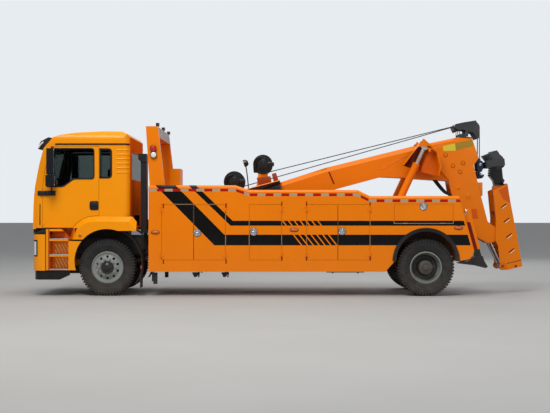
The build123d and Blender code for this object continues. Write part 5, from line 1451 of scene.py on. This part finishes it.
def makeBoomSeams():
    dressPair(addTube(boomRib, 0.007, smoothLine=False), "boomRib", "boom", "boomPaint")
    dressPair(sideSlab(boomStrap, 0.2395, 0.2450, 0.002), "boomStrap", "boom", "seamShadePaint")
    hoses = []
    for shift in (0.0, 0.030, 0.060):
        x, y, z = mastEnd["spot"]
        apart = shift * mastEnd["spread"]
        route = [(alongX - shift, away, up) for alongX, away, up in mastRoute]
        hoses.append(addTube([*route, (x - apart, y, z + apart)], 0.013, 10))
    dress(joined(hoses), "mastHoses", "boom", "rubber")


makeMastDetails()
makeBoomArm()
makeSleeves()
makeLabels()
dressPair(joined([addDome(*dome) for dome in tubeLatch]), "tubeLatch", "chassis", "chrome")
makeBoomSeams()
print("stage: boom details made")

# Underlift: casting round the crosshead with rows of studs along three of its edges
castingCorners = [(-3.862, 2.628), (-4.002, 2.684), (-4.164, 2.722), (-4.209, 2.640), (-4.278, 2.559)]
castingCorners += [(-4.293, 2.424), (-4.236, 2.378), (-4.256, 2.206), (-4.300, 2.150), (-4.250, 2.060)]
castingCorners += [(-4.096, 2.090), (-4.090, 2.140), (-4.014, 2.230), (-4.027, 2.413), (-3.956, 2.504)]
castingCorners.append((-3.922, 2.548))
castingSizes = {
    "half": 0.112,
    "bevel": 0.014,
    "studEdges": (1, 3, 12),
    "studs": 4,
    "studY": 0.075,
    "stud": 0.014,
}


def makeCasting():
    v = castingSizes
    parts = [sideSlab(castingCorners, -v["half"], v["half"], v["bevel"], 3)]
    for first in v["studEdges"]:
        start, end = castingCorners[first : first + 2]
        for step in range(v["studs"]):
            t = (step + 0.5) / v["studs"]
            x, z = start[0] * (1 - t) + end[0] * t, start[1] * (1 - t) + end[1] * t
            for y in (-v["studY"], v["studY"]):
                inner, outer = (x + 0.01, y, z - 0.014), (x - 0.004, y, z + 0.016)
                parts.append(addRod(inner, outer, v["stud"], 12, 0.003))
    dress(joined(parts), "crossheadCasting", "crosshead", "blackSteel")


# Hook blocks: two cheeks and a hook on each rope, with a pin and a safety latch
hookSizes = {
    "x": -3.8063,
    "y": 0.110,
    "eye": 2.455,
    "ring": 2.265,
    "ringRadius": 0.070,
    "thick": 0.020,
    "cheeks": ((-0.052, -0.034), (0.034, 0.052)),
    "arc": (100, -20, 15),
    "taper": 0.0012,
    "shank": (0.055, 2.360, 0.022),
    "pin": (0.060, 0.026),
}
hookCheek = [(-3.745, 2.500), (-3.800, 2.545), (-3.860, 2.520)]
hookCheek += [(-3.880, 2.400), (-3.850, 2.330), (-3.765, 2.340)]


def makeHooks():
    v = hookSizes
    x, eye, ring = v["x"], v["eye"], v["ring"]
    first, turnStep, count = v["arc"]
    low, high, shank = v["shank"]
    half, pin = v["pin"]
    parts = []
    pins = []
    for y in (v["y"], -v["y"]):
        parts += [sideSlab(hookCheek, y + near, y + far, 0.006) for near, far in v["cheeks"]]
        hook = []
        for step in range(count):
            turn = math.radians(first + turnStep * step)
            reach = v["ringRadius"] - v["taper"] * step
            hook.append((x - 0.02 + reach * math.cos(turn), y, ring + reach * math.sin(turn)))
        parts.append(addTube(hook, v["thick"], 12))
        parts.append(addRod((x - 0.03, y, ring + low), (x - 0.03, y, high), shank, 20, 0.004))
        pins.append(sideRod(x - 0.01, eye, y - half, y + half, pin, 24, 0.004))
        latch = [(x + 0.02, y, ring + 0.06), (x - 0.06, y, ring - 0.005)]
        pins.append(addTube(latch, 0.006, smoothLine=False))
    dress(joined(parts), "hookBlocks", "boom", "hookSteel")
    dress(joined(pins), "hookPins", "boom", "chrome")


# Fold arm: line and hole of its end cap, with a dark disc as painted shade in the hole; a dark plate as
# painted shade in the mouth at the top; pale lines as painted highlights along the edges of its slots; and
# the eye, with a dark disc and ring round it as painted shade
foldFace = 0.3055
foldCap = {"front": (-4.298, 0.553), "rear": (-4.576, 0.620), "high": 0.012, "hole": (-4.468, 0.510, 0.022)}
foldMouthShade = [(-4.139, 1.956), (-4.312, 2.060), (-4.358, 1.718), (-4.229, 1.785)]
foldEye = {"x": -4.214, "z": 0.505, "outer": 0.060, "inner": 0.034}
slotHighlightLines = [
    ((-4.207, 1.611), (-4.296, 1.672)),
    ((-4.263, 1.328), (-4.353, 1.403)),
    ((-4.308, 1.033), (-4.398, 1.108)),
    ((-4.357, 0.745), (-4.447, 0.822)),
]


def makeFoldCap():
    v = foldCap
    seat = foldFace - 0.002
    raised = [(x, z + v["high"]) for x, z in (v["rear"], v["front"])]
    line = sideSlab([v["front"], v["rear"], *raised], seat, foldFace + 0.001)
    x, z, radius = v["hole"]
    # A dark disc as painted shade in the cap's hole
    hole = sideRod(x, z, seat, foldFace + 0.0015, radius)
    dressPair(joined([line, hole]), "foldCapLines", "fold_arm", "rubber", slotName="black_steel")
    dressPair(sideSlab(foldMouthShade, seat, foldFace + 0.0012), "foldMouthShade", "fold_arm", "shadeAndLabelPaint")
    # Pale lines as painted highlights along the edges of the slots
    lines = [[(x, foldFace, z) for x, z in edge] for edge in slotHighlightLines]
    edges = joined([addTube(line, 0.006, smoothLine=False) for line in lines])
    dressPair(edges, "foldSlotHighlights", "fold_arm", "whiteLens", slotName="orange_paint")


def makeFoldEye():
    x, z, outer, inner = foldEye.values()
    ring = [(inner, -0.05), (outer, -0.05), (outer, 0.004), (outer - 0.004, 0.008)]
    ring += [(inner + 0.004, 0.008), (inner, 0.004)]
    eye = addSpin(ring, (x, foldFace + 0.004, z), 40, closed=True)
    # A dark disc in the eye and a dark ring round it, as painted shade
    seat = [sideRod(x, z, foldFace, foldFace + 0.008, inner, 32)]
    seat.append(sideRod(x, z, foldFace - 0.04, foldFace + 0.002, outer + 0.009, 40))
    dressPair(joined(seat), "foldEyeShade", "fold_arm", "paintedShadeOrange", slotName="black_steel")
    dressPair(eye, "foldEyeRing", "fold_arm", "boomPaint")


makeCasting()
makeHooks()
makeFoldCap()
makeFoldEye()
print("stage: underlift details made")

# Stage: pale floor, soft lights, camera
stageSizes = {
    "floor": 400,
    "cameraPlace": (0.132, 22.75, 1.486),
    "lens": 76.90,
    "sensor": 36,
    "shiftY": 0.0154,
    "reach": 500,
    "floorColours": ((0.37, 0.37, 0.36, 1), (0.42, 0.42, 0.41, 1)),
    "floorRough": 0.85,
    "sky": (0.94, 0.96, 1.0, 1),
    "skyPower": 0.45,
    "backdrop": (0.80, 0.84, 0.88, 1),
}


def makeFloor():
    deselectAll()
    bpy.ops.mesh.primitive_plane_add(size=stageSizes["floor"], location=(0, 0, -0.0005))
    floor = bpy.context.object
    floor.name = "floor"
    material, tree, inputs = newMaterial("floorPaint")
    cloud = noise(tree, coordinate(tree, "Object"), 0.6, 6.0)
    pale = blendColour(tree, cloud, *stageSizes["floorColours"])
    feed(tree, pale, inputs["Base Color"])
    feed(tree, stageSizes["floorRough"], inputs["Roughness"])
    floor.data.materials.append(material)


def makeWorld():
    # Soft light from all round, and a paler backdrop where the camera looks past the truck
    world = bpy.data.worlds.new("studio")
    bpy.context.scene.world = world
    world.use_nodes = True
    tree = world.node_tree
    back = tree.nodes["Background"]
    feed(tree, stageSizes["sky"], back.inputs["Color"])
    feed(tree, stageSizes["skyPower"], back.inputs["Strength"])
    seen = place(tree, "ShaderNodeBackground", {"Color": stageSizes["backdrop"], "Strength": 1.0})
    ray = place(tree, "ShaderNodeLightPath").outputs["Is Camera Ray"]
    mix = place(tree, "ShaderNodeMixShader", {0: ray, 1: back.outputs[0], 2: seen.outputs[0]})
    feed(tree, mix.outputs[0], tree.nodes["World Output"].inputs["Surface"])


# Each lamp has a place, a size, a power and a colour, and points at the truck's middle
lamps = {
    "keyLamp": ((4, 12, 14), 7, 1820, (1.0, 0.97, 0.92)),
    "fillLamp": ((-9, 15, 6), 8, 250, (0.95, 0.97, 1.0)),
    "topLamp": ((0, 0, 15), 9, 700, (1.0, 1.0, 1.0)),
    "backLamp": ((-4, -15, 9), 8, 500, (1.0, 1.0, 1.0)),
}


def makeLamps():
    for name, (spot, size, power, colour) in lamps.items():
        light = bpy.data.lights.new(name, "AREA")
        light.size = size
        light.energy = power
        light.color = colour
        lamp = bpy.data.objects.new(name, light)
        lamp.location = spot
        lamp.rotation_mode = "QUATERNION"
        lamp.rotation_quaternion = (Vector((0, 0, 1)) - Vector(spot)).to_track_quat("-Z", "Y")
        bpy.context.scene.collection.objects.link(lamp)


def makeCamera():
    v = stageSizes
    data = bpy.data.cameras.new("camera")
    data.lens = v["lens"]
    data.sensor_width = v["sensor"]
    data.sensor_fit = "HORIZONTAL"
    data.shift_y = v["shiftY"]
    data.clip_end = v["reach"]
    camera = bpy.data.objects.new("camera", data)
    camera.location = v["cameraPlace"]
    camera.rotation_euler = (math.pi / 2, 0, math.pi)
    bpy.context.scene.collection.objects.link(camera)
    bpy.context.scene.camera = camera


makeFloor()
makeWorld()
makeLamps()
makeCamera()
bpy.context.scene.view_settings.view_transform = "Standard"
print("stage: set and camera made")
